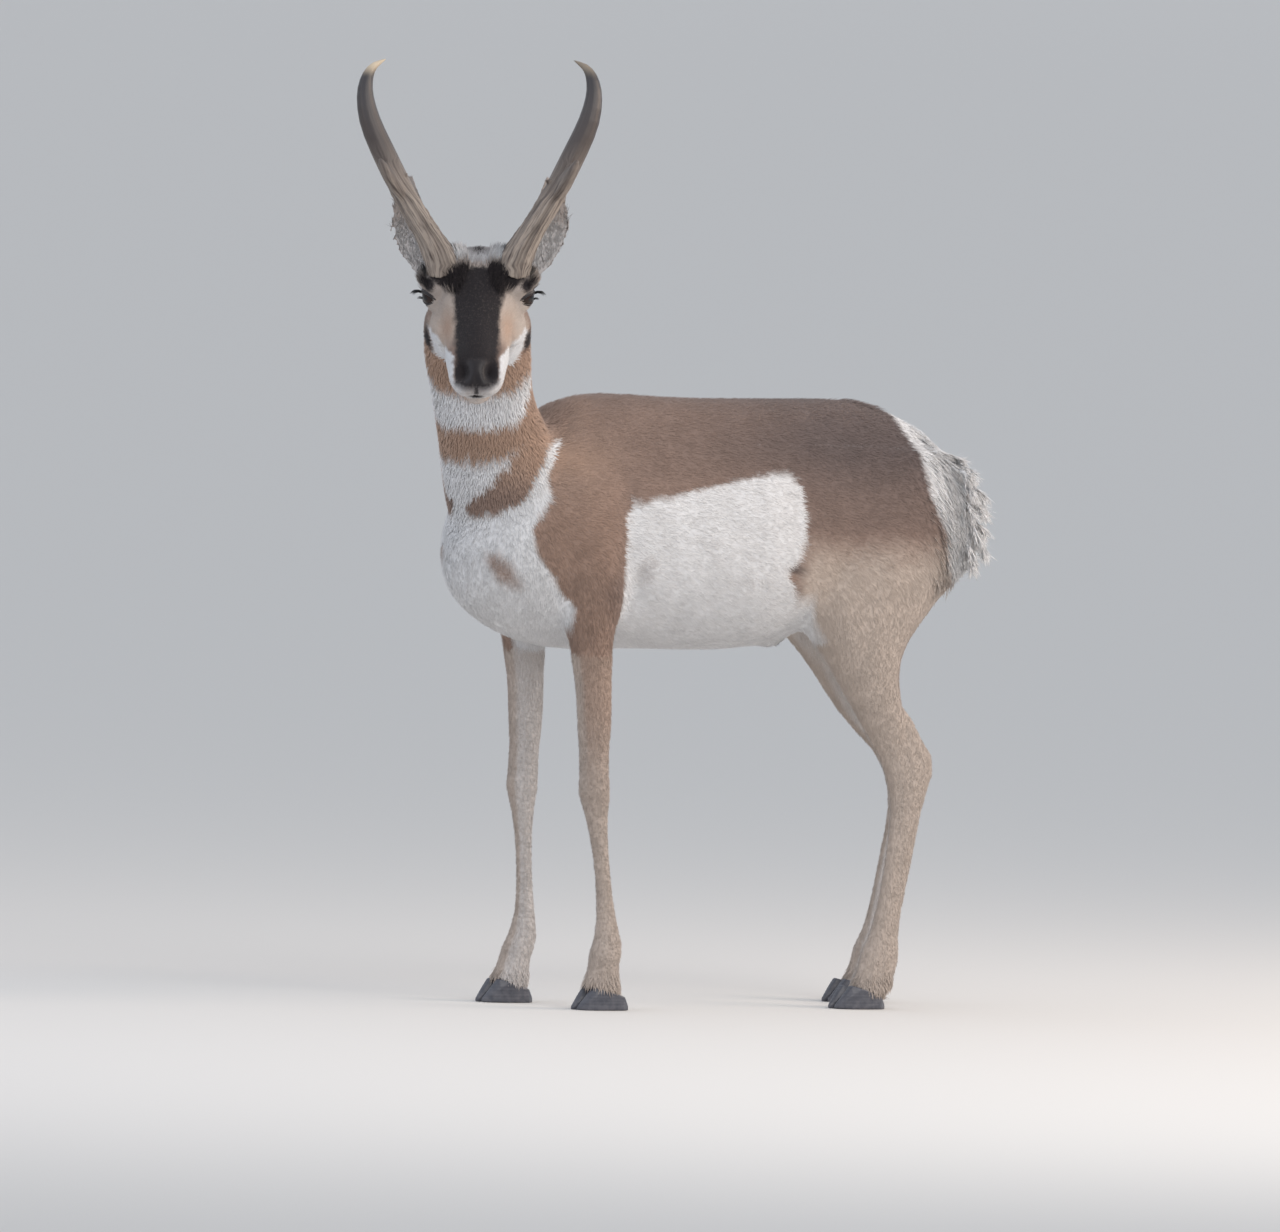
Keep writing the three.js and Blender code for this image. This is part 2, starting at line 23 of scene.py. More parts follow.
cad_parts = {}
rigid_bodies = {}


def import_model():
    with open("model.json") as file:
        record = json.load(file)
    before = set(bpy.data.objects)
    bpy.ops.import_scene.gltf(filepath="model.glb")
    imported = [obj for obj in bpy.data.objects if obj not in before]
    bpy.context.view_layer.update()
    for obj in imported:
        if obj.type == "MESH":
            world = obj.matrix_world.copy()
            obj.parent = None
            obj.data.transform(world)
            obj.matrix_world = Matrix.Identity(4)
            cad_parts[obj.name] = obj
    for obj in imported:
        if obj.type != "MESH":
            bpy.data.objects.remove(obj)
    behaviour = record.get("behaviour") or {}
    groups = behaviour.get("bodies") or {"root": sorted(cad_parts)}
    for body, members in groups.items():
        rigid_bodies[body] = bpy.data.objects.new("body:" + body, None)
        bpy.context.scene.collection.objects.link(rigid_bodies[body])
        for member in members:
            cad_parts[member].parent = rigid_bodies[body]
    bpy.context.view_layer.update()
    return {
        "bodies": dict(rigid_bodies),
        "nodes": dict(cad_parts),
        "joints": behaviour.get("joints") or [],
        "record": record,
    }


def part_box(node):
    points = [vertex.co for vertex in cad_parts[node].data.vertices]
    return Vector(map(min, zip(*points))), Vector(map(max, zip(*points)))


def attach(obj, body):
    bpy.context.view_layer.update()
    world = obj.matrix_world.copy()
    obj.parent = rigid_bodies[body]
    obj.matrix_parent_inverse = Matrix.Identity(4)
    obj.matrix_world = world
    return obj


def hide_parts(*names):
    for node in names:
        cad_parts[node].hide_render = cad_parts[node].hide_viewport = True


log = logging.getLogger("pronghorn")

MM = 0.001
BAKE_MAP = "OFBake"
BAKE_PATCH = 0.003  # across one tuft's patch on the hide's unwrap
ROOT_SINK = 0.0006  # metres that a tuft's foot stands under the skin
FORE_HIND = 240.0  # mm behind the withers, between the fore and the hind legs

Array = np.ndarray


class Side(Enum):
    """Which side of the animal a piece is on."""

    LEFT = 1
    RIGHT = -1

    @property
    def word(self) -> str:
        """The side's name as it stands in node names."""
        return self.name.lower()


class Region(Enum):
    """The parts of the hide that differ in their hair."""

    TRUNK = 0
    NECK = 1
    HEAD = 2
    EAR = 3
    LEG = 4
    TAIL = 5


def region_of(node: str) -> Region:
    """The region that a flesh node of the frame belongs to."""
    names = {"torso": Region.TRUNK, "neck": Region.NECK, "head": Region.HEAD, "tail": Region.TAIL}
    return names.get(node, Region.EAR if node.startswith("ear") else Region.LEG)


def linear(colour: str) -> tuple[float, float, float, float]:
    """An sRGB hex colour such as "#8c6a50" as linear RGBA.

    Args:
        colour: # and six hex digits.

    Returns:
        Red, green and blue as light, and an alpha of 1.
    """
    parts = [int(colour[i : i + 2], 16) / 255 for i in (1, 3, 5)]
    straight = [c / 12.92 if c <= 0.04045 else ((c + 0.055) / 1.055) ** 2.4 for c in parts]
    return (straight[0], straight[1], straight[2], 1.0)


def per(size: float) -> float:
    """The scale of a pattern whose features are `size` mm across, on coordinates in metres."""
    return 1.0 / (size * MM)


def ease(x: Array, low: float, high: float) -> Array:
    """0 at `low`, 1 at `high` and smooth between them; `low` may be the greater one.

    Args:
        x: The values.
        low: Where it starts.
        high: Where it ends.

    Returns:
        The eased values.
    """
    t = np.clip((x - low) / (high - low), 0.0, 1.0)
    return t * t * (3 - 2 * t)


def blob(points: Array, centre: Iterable[float], radii: Iterable[float]) -> Array:
    """A soft mound of height 1 at `centre`, one e-fold low at the radii.

    Args:
        points: Places.
        centre: The mound's middle.
        radii: Its reach along each axis.

    Returns:
        Its height at each place.
    """
    away = (points - np.array(list(centre), float)) / np.array(list(radii), float)
    return np.exp(-np.square(away).sum(1))


def unit(vectors: Array) -> Array:
    """Vectors scaled to length 1."""
    return vectors / np.maximum(np.linalg.norm(vectors, axis=1, keepdims=True), 1e-9)


def inside(points: Array, corners: tuple[tuple[float, float], ...]) -> Array:
    """How far points of a plane lie inside a polygon; negative outside it.

    Args:
        points: Places in the plane.
        corners: The polygon's corners in order.

    Returns:
        The distance of each place from the polygon's edge.
    """
    loop = np.array(corners, float)
    nearest = np.full(len(points), 1e9)
    crossed = np.zeros(len(points), bool)
    for a, b in zip(loop, np.roll(loop, -1, axis=0)):
        edge = b - a
        share = np.clip(((points - a) @ edge) / (edge @ edge), 0, 1)
        nearest = np.minimum(nearest, np.linalg.norm(points - a - share[:, None] * edge, axis=1))
        spans = (a[1] > points[:, 1]) != (b[1] > points[:, 1])
        rise = edge[1] if abs(edge[1]) > 1e-9 else 1e-9
        crossed ^= spans & (points[:, 0] < a[0] + (points[:, 1] - a[1]) / rise * edge[0])
    return np.where(crossed, nearest, -nearest)


def mottle(points: Array, size: float, seed: int = 3) -> Array:
    """Smooth noise between -1 and 1 whose patches are about `size` across.

    Args:
        points: Places.
        size: The size of a patch, in their unit.
        seed: Which noise.

    Returns:
        The noise at each place.
    """
    grid = points / size
    cell = np.floor(grid).astype(np.int64)
    part = grid - cell
    part = part * part * (3 - 2 * part)
    total = np.zeros(len(points))
    for corner in range(8):
        step = np.array([corner & 1, corner >> 1 & 1, corner >> 2 & 1])
        at = cell + step
        key = at[:, 0] * 73856093 ^ at[:, 1] * 19349663 ^ at[:, 2] * 83492791 ^ seed * 2654435761
        key = (key ^ (key >> 13)) * 1274126177 & 0x7FFFFFFF
        weight = np.prod(np.where(step, part, 1 - part), axis=1)
        total += weight * ((key >> 7 & 0xFFFF) / 32767.5 - 1)
    return total


def seen_from(azimuth: float, elevation: float) -> Vector:
    """The way to a viewer at two angles in degrees; azimuth 0 is ahead of the animal, 90 on its left."""
    a, e = math.radians(azimuth), math.radians(elevation)
    return Vector((math.sin(a) * math.cos(e), -math.cos(a) * math.cos(e), math.sin(e)))


def turn(axis: str, degrees: float) -> Array:
    """A rotation matrix about one axis."""
    return np.array(Matrix.Rotation(math.radians(degrees), 3, axis))


@dataclass(frozen=True)
class Anatomy:
    """Where the animal's own frames lie, found from the frame's eyes."""

    head_place: tuple[float, float, float] = (110.0, -262.0, 992.0)  # midway between the eyes
    head_turn: float = 55.0
    head_pitch: float = 38.0
    head_lean: float = -1.5
    eye_place: tuple[float, float, float] = (57.0, -1.0, 3.0)
    horn_foot: tuple[float, float] = (50.0, -14.0)  # its middle in the upright frame, out and back
    horn_radii: tuple[float, float] = (23.0, 28.0)

    @property
    def upright(self) -> Array:
        """The turned head before the face is pitched down."""
        return turn("Z", self.head_turn) @ turn("Y", self.head_lean)

    @property
    def face(self) -> Array:
        """The rotation of the face frame."""
        return self.upright @ turn("X", self.head_pitch)

    @property
    def head_origin(self) -> Array:
        """Midway between the eyes, in metres in the row frame."""
        corners = [np.array(c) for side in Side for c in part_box(f"eye_{side.word}")]
        return np.mean(corners, axis=0) - self.face @ np.array([0, *self.eye_place[1:]]) * MM

    @property
    def withers_ground(self) -> Array:
        """The ground under the withers, in metres in the row frame."""
        place = self.head_origin - np.array(self.head_place) * MM
        return np.array([place[0], place[1], 0.0])

    def on_body(self, points: Array) -> Array:
        """Row-frame metres as millimetres of the body frame."""
        return (points - self.withers_ground) / MM

    def on_face(self, points: Array) -> Array:
        """Row-frame metres as millimetres of the face frame."""
        return (points - self.head_origin) @ self.face / MM

    def on_crown(self, points: Array) -> Array:
        """Row-frame metres as millimetres of the upright head frame."""
        return (points - self.head_origin) @ self.upright / MM

    def from_face(self, points: Array) -> Array:
        """Face-frame millimetres as row-frame metres."""
        return points @ self.face.T * MM + self.head_origin


@dataclass(frozen=True)
class Socket:
    """One eye's place in the face frame and the opening of its lids, in mm."""

    anatomy: Anatomy
    side: Side
    radius: float = 20.0
    gaze: tuple[float, float, float] = (20.0, -11.5, 2.2)
    opening: tuple[float, float] = (15.5, 9.0)

    @property
    def axes(self) -> tuple[Array, Array, Array, Array]:
        """The eye's middle, and its outward, forward and upward directions."""
        s = self.side.value
        middle = np.array(self.anatomy.eye_place) * [s, 1, 1]
        out = unit(np.array([self.gaze]) * [s, 1, 1])[0]
        ahead = np.array([-0.55 * s, -1.0, 0.45])
        ahead = ahead - out * (ahead @ out)
        ahead /= np.linalg.norm(ahead)
        up = np.cross(out, ahead)
        return middle, out, ahead, up if up[2] > 0 else -up

    def rim(self, angle: Array, radius: float) -> Array:
        """Points of the lids' edge; 0 is the front corner, which reaches down to the tear pit.

        Args:
            angle: Angles round the opening.
            radius: How far from the ball's middle the edge lies.

        Returns:
            One point for each angle, in the face frame.
        """
        middle, out, ahead, up = self.axes
        front = np.maximum(np.cos(angle), 0) ** 3
        a = self.opening[0] * np.cos(angle) + 2.0 * front
        b = self.opening[1] * np.sin(angle) - 2.0 * front
        flat = a[:, None] * ahead + b[:, None] * up
        height = np.sqrt(np.maximum(radius**2 - np.square(flat).sum(1), 1.0))
        return middle + flat + height[:, None] * out

    def opened(self, face: Array) -> Array:
        """Moves points of the hide so that the lids close round the ball outside the opening.

        Args:
            face: Points in the face frame.

        Returns:
            The moved points.
        """
        middle, out, ahead, up = self.axes
        away = face - middle
        reach = np.linalg.norm(away, axis=1)
        a, b, c = away @ ahead, away @ up, away @ out
        scale = self.radius / np.maximum(reach, 1e-6)
        ratio = np.hypot(a * scale / self.opening[0], b * scale / self.opening[1])
        near = (reach < 1.9 * self.radius) & (c > -0.25 * reach)
        share = ease(ratio, 1.55, 1.02)
        held = np.where(ratio < 1.0, self.radius - 2.5, self.radius + 1.6)
        target = reach + (np.minimum(reach, held) - reach) * share
        target = np.maximum(target, np.where(ratio > 1.03, self.radius + 1.2, 0.0))
        moved = middle + away * (target / np.maximum(reach, 1e-6))[:, None]
        return np.where(near[:, None], moved, face)


@dataclass
class Surface:
    """A mesh's vertices, triangles, edges and normals as arrays."""

    points: Array
    triangles: Array
    edges: Array
    normals: Array

    @classmethod
    def of(cls, mesh: bpy.types.Mesh) -> "Surface":
        """Reads a mesh."""
        count = len(mesh.vertices)
        points = np.empty(count * 3)
        normals = np.empty(count * 3)
        mesh.vertices.foreach_get("co", points)
        mesh.vertex_normals.foreach_get("vector", normals)
        edges = np.empty(len(mesh.edges) * 2, int)
        mesh.edges.foreach_get("vertices", edges)
        mesh.calc_loop_triangles()
        triangles = np.empty(len(mesh.loop_triangles) * 3, int)
        mesh.loop_triangles.foreach_get("vertices", triangles)
        return cls(
            points.reshape(-1, 3), triangles.reshape(-1, 3), edges.reshape(-1, 2), normals.reshape(-1, 3)
        )

    def averaged(self, values: Array, rounds: int, weight: Array | float = 0.5, back: float = 0.0) -> Array:
        """Moves each vertex's values towards its neighbours' mean.

        Args:
            values: One row of numbers for each vertex.
            rounds: How many times.
            weight: How far each time, for all or for each vertex.
            back: Where above 0, a step back by this share follows, which keeps the volume.

        Returns:
            The new rows.
        """
        count = len(self.points)
        one, two = self.edges.T
        degree = np.maximum(np.bincount(one, minlength=count) + np.bincount(two, minlength=count), 1)
        strength = np.broadcast_to(weight, count)[:, None]
        out = values.reshape(count, -1).astype(float)
        steps = [strength] if back == 0 else [strength, -back * strength]
        for _ in range(rounds):
            for step in steps:
                mean = np.stack(
                    [
                        np.bincount(one, c[two], count) + np.bincount(two, c[one], count)
                        for c in out.T
                    ],
                    axis=1,
                )
                out = out + step * (mean / degree[:, None] - out)
        return out.reshape(values.shape)


def place(mesh: bpy.types.Mesh, points: Array) -> None:
    """Gives a mesh's vertices new places."""
    mesh.vertices.foreach_set("co", points.astype(np.float32).ravel())
    mesh.update()


def face_out(mesh: bpy.types.Mesh) -> None:
    """Turns the faces of a closed mesh outward."""
    form = bmesh.new()
    form.from_mesh(mesh)
    bmesh.ops.recalc_face_normals(form, faces=form.faces)
    form.to_mesh(mesh)
    form.free()


def note(mesh: bpy.types.Mesh, name: str, values: Array) -> None:
    """Stores numbers on a mesh's vertices: one each as a float, three as a vector, four as a colour.

    Args:
        mesh: The mesh.
        name: The attribute's name.
        values: One row for each vertex.
    """
    width = 1 if values.ndim == 1 else values.shape[1]
    kind, key = {1: ("FLOAT", "value"), 3: ("FLOAT_VECTOR", "vector"), 4: ("FLOAT_COLOR", "color")}[width]
    layer = mesh.attributes.new(name, kind, "POINT")
    layer.data.foreach_set(key, values.astype(np.float32).ravel())


def added(
    name: str, mesh: bpy.types.Mesh, finish: bpy.types.Material, slot: str, *nodes: str
) -> bpy.types.Object:
    """Puts a finished mesh into the scene.

    Args:
        name: The piece's name.
        mesh: Its mesh, in the row frame.
        finish: Its material.
        slot: The record's slot for its finish; not used.
        nodes: The frame's nodes that it stands for.

    Returns:
        The piece.
    """
    piece = bpy.data.objects.new(name, mesh)
    bpy.context.scene.collection.objects.link(piece)
    mesh.materials.clear()
    mesh.materials.append(finish)
    mesh.shade_smooth()
    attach(piece, "root")
    if nodes:
        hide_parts(*nodes)
    log.info("%s: %d triangles", name, sum(len(p.vertices) - 2 for p in mesh.polygons))
    return piece


def whole_skin(mesh: bpy.types.Mesh) -> bpy.types.Mesh:
    """The mesh without the crumbs that a remesh leaves beside its largest body.

    Args:
        mesh: The mesh, which is changed.

    Returns:
        The same mesh.
    """
    one, two = Surface.of(mesh).edges.T
    label = np.arange(len(mesh.vertices))
    while True:
        low = np.minimum(label[one], label[two])
        lower = label.copy()
        np.minimum.at(lower, one, low)
        np.minimum.at(lower, two, low)
        lower = lower[lower]
        if np.array_equal(lower, label):
            break
        label = lower
    keep = label == np.bincount(label).argmax()
    if not keep.all():
        form = bmesh.new()
        form.from_mesh(mesh)
        crumbs = [vert for vert, kept in zip(form.verts, keep) if not kept]
        bmesh.ops.delete(form, geom=crumbs, context="VERTS")
        form.to_mesh(mesh)
        form.free()
    return mesh


def recast(
    nodes: Iterable[bpy.types.Object], voxel: float, grow: float = 0.0, ears: float = 0.0
) -> bpy.types.Mesh:
    """One even, closed skin round copies of some of the frame's solids.

    Args:
        nodes: The solids.
        voxel: The grain of the new skin in mm.
        grow: How far each solid swells first in mm, so that neighbours fuse.
        ears: The same for the ears, which are thinner than two grains.

    Returns:
        The new mesh.
    """
    whole = bmesh.new()
    for node in nodes:
        part = bmesh.new()
        part.from_mesh(node.data)
        bmesh.ops.remove_doubles(part, verts=part.verts, dist=1e-5)
        bmesh.ops.recalc_face_normals(part, faces=part.faces)
        part.normal_update()
        for vert in part.verts:
            vert.co += vert.normal * ((ears if node.name.startswith("ear") else grow) * MM)
        scrap = bpy.data.meshes.new("scrap")
        part.to_mesh(scrap)
        part.free()
        whole.from_mesh(scrap)
        bpy.data.meshes.remove(scrap)
    rough = bpy.data.meshes.new("rough")
    whole.to_mesh(rough)
    whole.free()
    form = bpy.data.objects.new("form", rough)
    bpy.context.scene.collection.objects.link(form)
    grain = form.modifiers.new("grain", "REMESH")
    grain.mode = "VOXEL"
    grain.voxel_size = voxel * MM
    made = bpy.data.meshes.new_from_object(form.evaluated_get(bpy.context.evaluated_depsgraph_get()))
    bpy.data.objects.remove(form)
    bpy.data.meshes.remove(rough)
    return made


def add_node(
    tree: bpy.types.NodeTree, kind: str, inputs: dict[Any, Any] | None = None, **settings: Any
) -> Any:
    """Adds a shader node.

    Args:
        tree: The material's node tree.
        kind: The node's type, without its leading "ShaderNode".
        inputs: A value or another node's output for each named or numbered input.
        settings: The node's own properties.

    Returns:
        The node.
    """
    made = tree.nodes.new("ShaderNode" + kind)
    for key, value in settings.items():
        setattr(made, key, value)
    for key, value in (inputs or {}).items():
        if isinstance(value, bpy.types.NodeSocket):
            tree.links.new(value, made.inputs[key])
        else:
            made.inputs[key].default_value = value
    return made


def blank(name: str) -> tuple[bpy.types.Material, bpy.types.NodeTree]:
    """A material with only its output node.

    Args:
        name: The material's name.

    Returns:
        The material and its node tree.
    """
    made = bpy.data.materials.new(name)
    made.use_nodes = True
    made.node_tree.nodes.clear()
    add_node(made.node_tree, "OutputMaterial")
    return made, made.node_tree


def finished(tree: bpy.types.NodeTree, **inputs: Any) -> None:
    """Ends a material in one Principled shader with these inputs, named with _ for spaces."""
    shader = add_node(tree, "BsdfPrincipled", {k.replace("_", " "): v for k, v in inputs.items()})
    tree.links.new(shader.outputs[0], tree.nodes["Material Output"].inputs["Surface"])


def blended(tree: bpy.types.NodeTree, share: Any, low: Any, high: Any) -> Any:
    """The socket of a mix of two colours."""
    return add_node(tree, "Mix", {0: share, 6: low, 7: high}, data_type="RGBA").outputs[2]


def graded(
    tree: bpy.types.NodeTree, value: Any, low: float, high: float, to: tuple[float, float] = (0, 1)
) -> Any:
    """The socket of a value whose range low..high is carried to another range, and kept in it.

    Args:
        tree: The material's node tree.
        value: The socket of the value.
        low: Becomes to[0].
        high: Becomes to[1].
        to: The new range.

    Returns:
        The new socket.
    """
    inputs = {0: value, 1: low, 2: high, 3: to[0], 4: to[1]}
    return add_node(tree, "MapRange", inputs).outputs[0]


@dataclass(frozen=True)
class HairFinish:
    """Short pronghorn hair: hollow, dull and brittle, so it spreads light and hardly shines.

    The colours are carried by masks on the vertices, alike on the hide and on the tufts, and their
    borders are broken by noise as wide as a few tufts.
    """

    cinnamon: str = "#8c776c"
    buff: str = "#b9aba0"
    umber: str = "#5e5351"
    tan: str = "#b08c73"
    grey: str = "#8f8c8d"
    white: str = "#dcdcdd"
    black: str = "#221d1f"
    tuft_width: float = 2.6  # mm
    hair_width: float = 0.9  # mm, drawn coarser than a real hair, which would not show
    scatter: float = 0.0  # light carried through the hair, for the long white kind

    def material(self, name: str) -> bpy.types.Material:
        """The finish as a material."""
        made, tree = blank(name)
        at = add_node(tree, "TexCoord").outputs["Object"]
        tufts = add_node(tree, "TexNoise", {"Vector": at, "Scale": per(self.tuft_width), "Detail": 2.0})
        broad = add_node(tree, "TexNoise", {"Vector": at, "Scale": per(38.0), "Detail": 3.0})
        jag = graded(tree, tufts.outputs[0], 0.3, 0.7, (-0.08, 0.08))
        first = add_node(tree, "Attribute", attribute_name="marks_a")
        second = add_node(tree, "Attribute", attribute_name="marks_b")
        warm = add_node(tree, "SeparateColor", {0: first.outputs["Color"]})
        cool = add_node(tree, "SeparateColor", {0: second.outputs["Color"]})

        def mask(value: Any) -> Any:
            """The socket of a mask whose border is broken, and which stays empty where it is."""
            rough = add_node(tree, "Math", {0: value, 1: jag}, operation="ADD").outputs[0]
            held = add_node(tree, "Math", {0: value, 1: 0.02}, operation="GREATER_THAN").outputs[0]
            return add_node(
                tree, "Math", {0: graded(tree, rough, 0.12, 0.88), 1: held}, operation="MULTIPLY"
            ).outputs[0]

        colour = blended(tree, mask(warm.outputs[1]), linear(self.cinnamon), linear(self.umber))
        colour = blended(tree, mask(first.outputs["Alpha"]), colour, linear(self.buff))
        colour = blended(tree, mask(cool.outputs[0]), colour, linear(self.tan))
        colour = blended(tree, mask(cool.outputs[1]), colour, linear(self.grey))
        colour = blended(tree, mask(warm.outputs[0]), colour, linear(self.white))
        colour = blended(tree, mask(warm.outputs[2]), colour, linear(self.black))
        patchy = graded(tree, broad.outputs[0], 0.3, 0.7, (0.93, 1.06))
        # Painted shade: the shade mask darkens the skin between the tufts and the tufts' roots; it also
        # differs at random from tuft to tuft.
        lit = graded(tree, cool.outputs[2], 0.0, 1.0, (0.72, 1.18))
        value = add_node(tree, "Math", {0: patchy, 1: lit}, operation="MULTIPLY").outputs[0]
        colour = add_node(tree, "HueSaturation", {"Value": value, "Color": colour}).outputs[0]
        hairs = add_node(tree, "TexNoise", {"Vector": at, "Scale": per(self.hair_width), "Detail": 1.0})
        bump = add_node(tree, "Bump", {"Height": hairs.outputs[0], "Strength": 0.25, "Distance": 0.6 * MM})
        rough = graded(tree, second.outputs["Alpha"], 0.0, 1.0, (0.86, 0.34))
        finished(
            tree, Base_Color=colour, Roughness=rough, Normal=bump.outputs[0], Specular_IOR_Level=0.25,
            Sheen_Weight=0.12, Sheen_Roughness=0.5, Subsurface_Weight=self.scatter,
            Subsurface_Radius=(1.0, 1.0, 1.0), Subsurface_Scale=5 * MM,
        )
        return made


@dataclass(frozen=True)
class HornFinish:
    """Keratin sheath: fused hair, coarse and weathered pale below the prong, worn smooth and dark above."""

    core: str = "#4a403b"
    weathered: str = "#9b8f84"
    tip: str = "#2b2729"
    ivory: str = "#c9b79d"
    fibre: float = 1.6  # mm, width of a strand in the sheath

    def material(self) -> bpy.types.Material:
        """The finish as a material."""
        made, tree = blank("horn_keratin_weathered")
        grain = add_node(tree, "Attribute", attribute_name="fibre").outputs["Vector"]
        height = add_node(tree, "Attribute", attribute_name="rise").outputs["Fac"]
        pale = add_node(tree, "Attribute", attribute_name="ivory").outputs["Fac"]
        streaks = add_node(
            tree, "TexNoise", {"Vector": grain, "Scale": 1.0, "Detail": 4.0, "Roughness": 0.6}
        )
        flakes = add_node(tree, "TexNoise", {"Vector": grain, "Scale": 0.28, "Detail": 3.0})
        worn = graded(tree, height, 0.3, 0.62, (1.0, 0.0))
        streaked = graded(tree, streaks.outputs[0], 0.34, 0.56)
        share = add_node(tree, "Math", {0: streaked, 1: worn}, operation="MULTIPLY").outputs[0]
        colour = blended(tree, graded(tree, height, 0.45, 0.9), linear(self.core), linear(self.tip))
        colour = blended(tree, share, colour, linear(self.weathered))
        spots = graded(tree, flakes.outputs[0], 0.48, 0.7, (0.0, 0.7))
        colour = blended(tree, spots, colour, linear(self.core))
        colour = blended(tree, pale, colour, linear(self.ivory))
        bump = add_node(
            tree, "Bump", {"Height": streaks.outputs[0], "Strength": 0.55, "Distance": 1.2 * MM}
        )
        rough = graded(tree, height, 0.1, 0.8, (0.78, 0.42))
        finished(tree, Base_Color=colour, Roughness=rough, Normal=bump.outputs[0], IOR=1.55)
        return made


@dataclass(frozen=True)
class HoofFinish:
    """Hoof keratin: blue-black, satin, dusty, with fine rings of growth round it."""

    wall: str = "#3b3d46"
    dust: str = "#77757a"
    ring: float = 3.5  # mm between rings of growth

    def material(self) -> bpy.types.Material:
        """The finish as a material."""
        made, tree = blank("hoof_keratin_satin")
        at = add_node(tree, "TexCoord").outputs["Object"]
        rings = add_node(
            tree, "TexWave",
            {"Vector": at, "Scale": per(self.ring) / 6.28, "Distortion": 2.0, "Detail": 2.0},
            bands_direction="Z",
        )
        dust = add_node(tree, "TexNoise", {"Vector": at, "Scale": per(9.0), "Detail": 4.0})
        low = add_node(tree, "SeparateXYZ", {0: at}).outputs[2]
        share = add_node(
            tree, "Math",
            {0: graded(tree, dust.outputs[0], 0.3, 0.8), 1: graded(tree, low, 0.0, 30 * MM, (0.6, 0.2))},
            operation="MULTIPLY",
        ).outputs[0]
        colour = blended(tree, share, linear(self.wall), linear(self.dust))
        bump = add_node(tree, "Bump", {"Height": rings.outputs[0], "Strength": 0.2, "Distance": 0.4 * MM})
        finished(tree, Base_Color=colour, Roughness=0.42, Normal=bump.outputs[0], IOR=1.55)
        return made


@dataclass(frozen=True)
class EyeFinish:
    """A wet eye: a clear cornea over a dark brown iris and a level, blue-black pupil."""

    iris: str = "#36201a"
    rim: str = "#0d0807"
    pupil: str = "#07080c"

    def material(self) -> bpy.types.Material:
        """The finish as a material."""
        made, tree = blank("eye_wet_cornea")
        out = add_node(tree, "Attribute", attribute_name="off_axis").outputs["Fac"]
        slit = add_node(tree, "Attribute", attribute_name="pupil").outputs["Fac"]
        fibres = add_node(tree, "TexNoise", {"Scale": per(1.4), "Detail": 3.0})
        fibre = graded(tree, fibres.outputs[0], 0.35, 0.7)
        iris = blended(tree, fibre, linear(self.rim), linear(self.iris))
        colour = blended(tree, graded(tree, out, 0.78, 1.0), iris, linear(self.rim))
        colour = blended(tree, graded(tree, slit, 1.1, 0.85), colour, linear(self.pupil))
        finished(tree, Base_Color=colour, Roughness=0.07, IOR=1.376)
        return made


@dataclass(frozen=True)
class PlainFinish:
    """Small dark parts of one colour with a fine grain: lid leather and lash hair."""

    name: str
    colour: str
    roughness: float
    grain: float  # mm

    def material(self) -> bpy.types.Material:
        """The finish as a material."""
        made, tree = blank(self.name)
        at = add_node(tree, "TexCoord").outputs["Object"]
        grain = add_node(tree, "TexNoise", {"Vector": at, "Scale": per(self.grain), "Detail": 2.0})
        value = graded(tree, grain.outputs[0], 0.3, 0.7, (0.8, 1.25))
        tinted = add_node(tree, "HueSaturation", {"Value": value, "Color": linear(self.colour)})
        bump = add_node(tree, "Bump", {"Height": grain.outputs[0], "Strength": 0.4, "Distance": 0.4 * MM})
        finished(tree, Base_Color=tinted.outputs[0], Roughness=self.roughness, Normal=bump.outputs[0])
        return made


@dataclass(frozen=True)
class Mound:
    """One muscle, bone or hollow: a soft swelling of the hide, mirrored to both sides."""

    centre: tuple[float, float, float]
    radii: tuple[float, float, float]
    height: float  # mm, negative for a hollow

    def rise(self, points: Array) -> Array:
        """How far each point moves out along its normal, in mm.

        Args:
            points: Points in the mound's frame.

        Returns:
            One distance for each point.
        """
        mirror = (-self.centre[0], *self.centre[1:])
        return self.height * np.maximum(
            blob(points, self.centre, self.radii), blob(points, mirror, self.radii)
        )


@dataclass(frozen=True)
class Pelage:
    """The hair of one region, in mm."""

    depth: float  # of the coat, from the skin to the outline
    length: float
    width: float
    density: float  # tufts per square mm
    segments: int


PELAGES = {
    Region.TRUNK: Pelage(3.0, 8.0, 1.6, 0.145, 1),
    Region.NECK: Pelage(4.0, 11.0, 1.5, 0.165, 2),
    Region.HEAD: Pelage(1.5, 4.5, 1.1, 0.37, 1),
    Region.EAR: Pelage(0.9, 3.2, 0.8, 0.42, 1),
    Region.LEG: Pelage(1.8, 6.0, 1.45, 0.19, 1),
    Region.TAIL: Pelage(4.0, 20.0, 2.0, 0.28, 3),
}


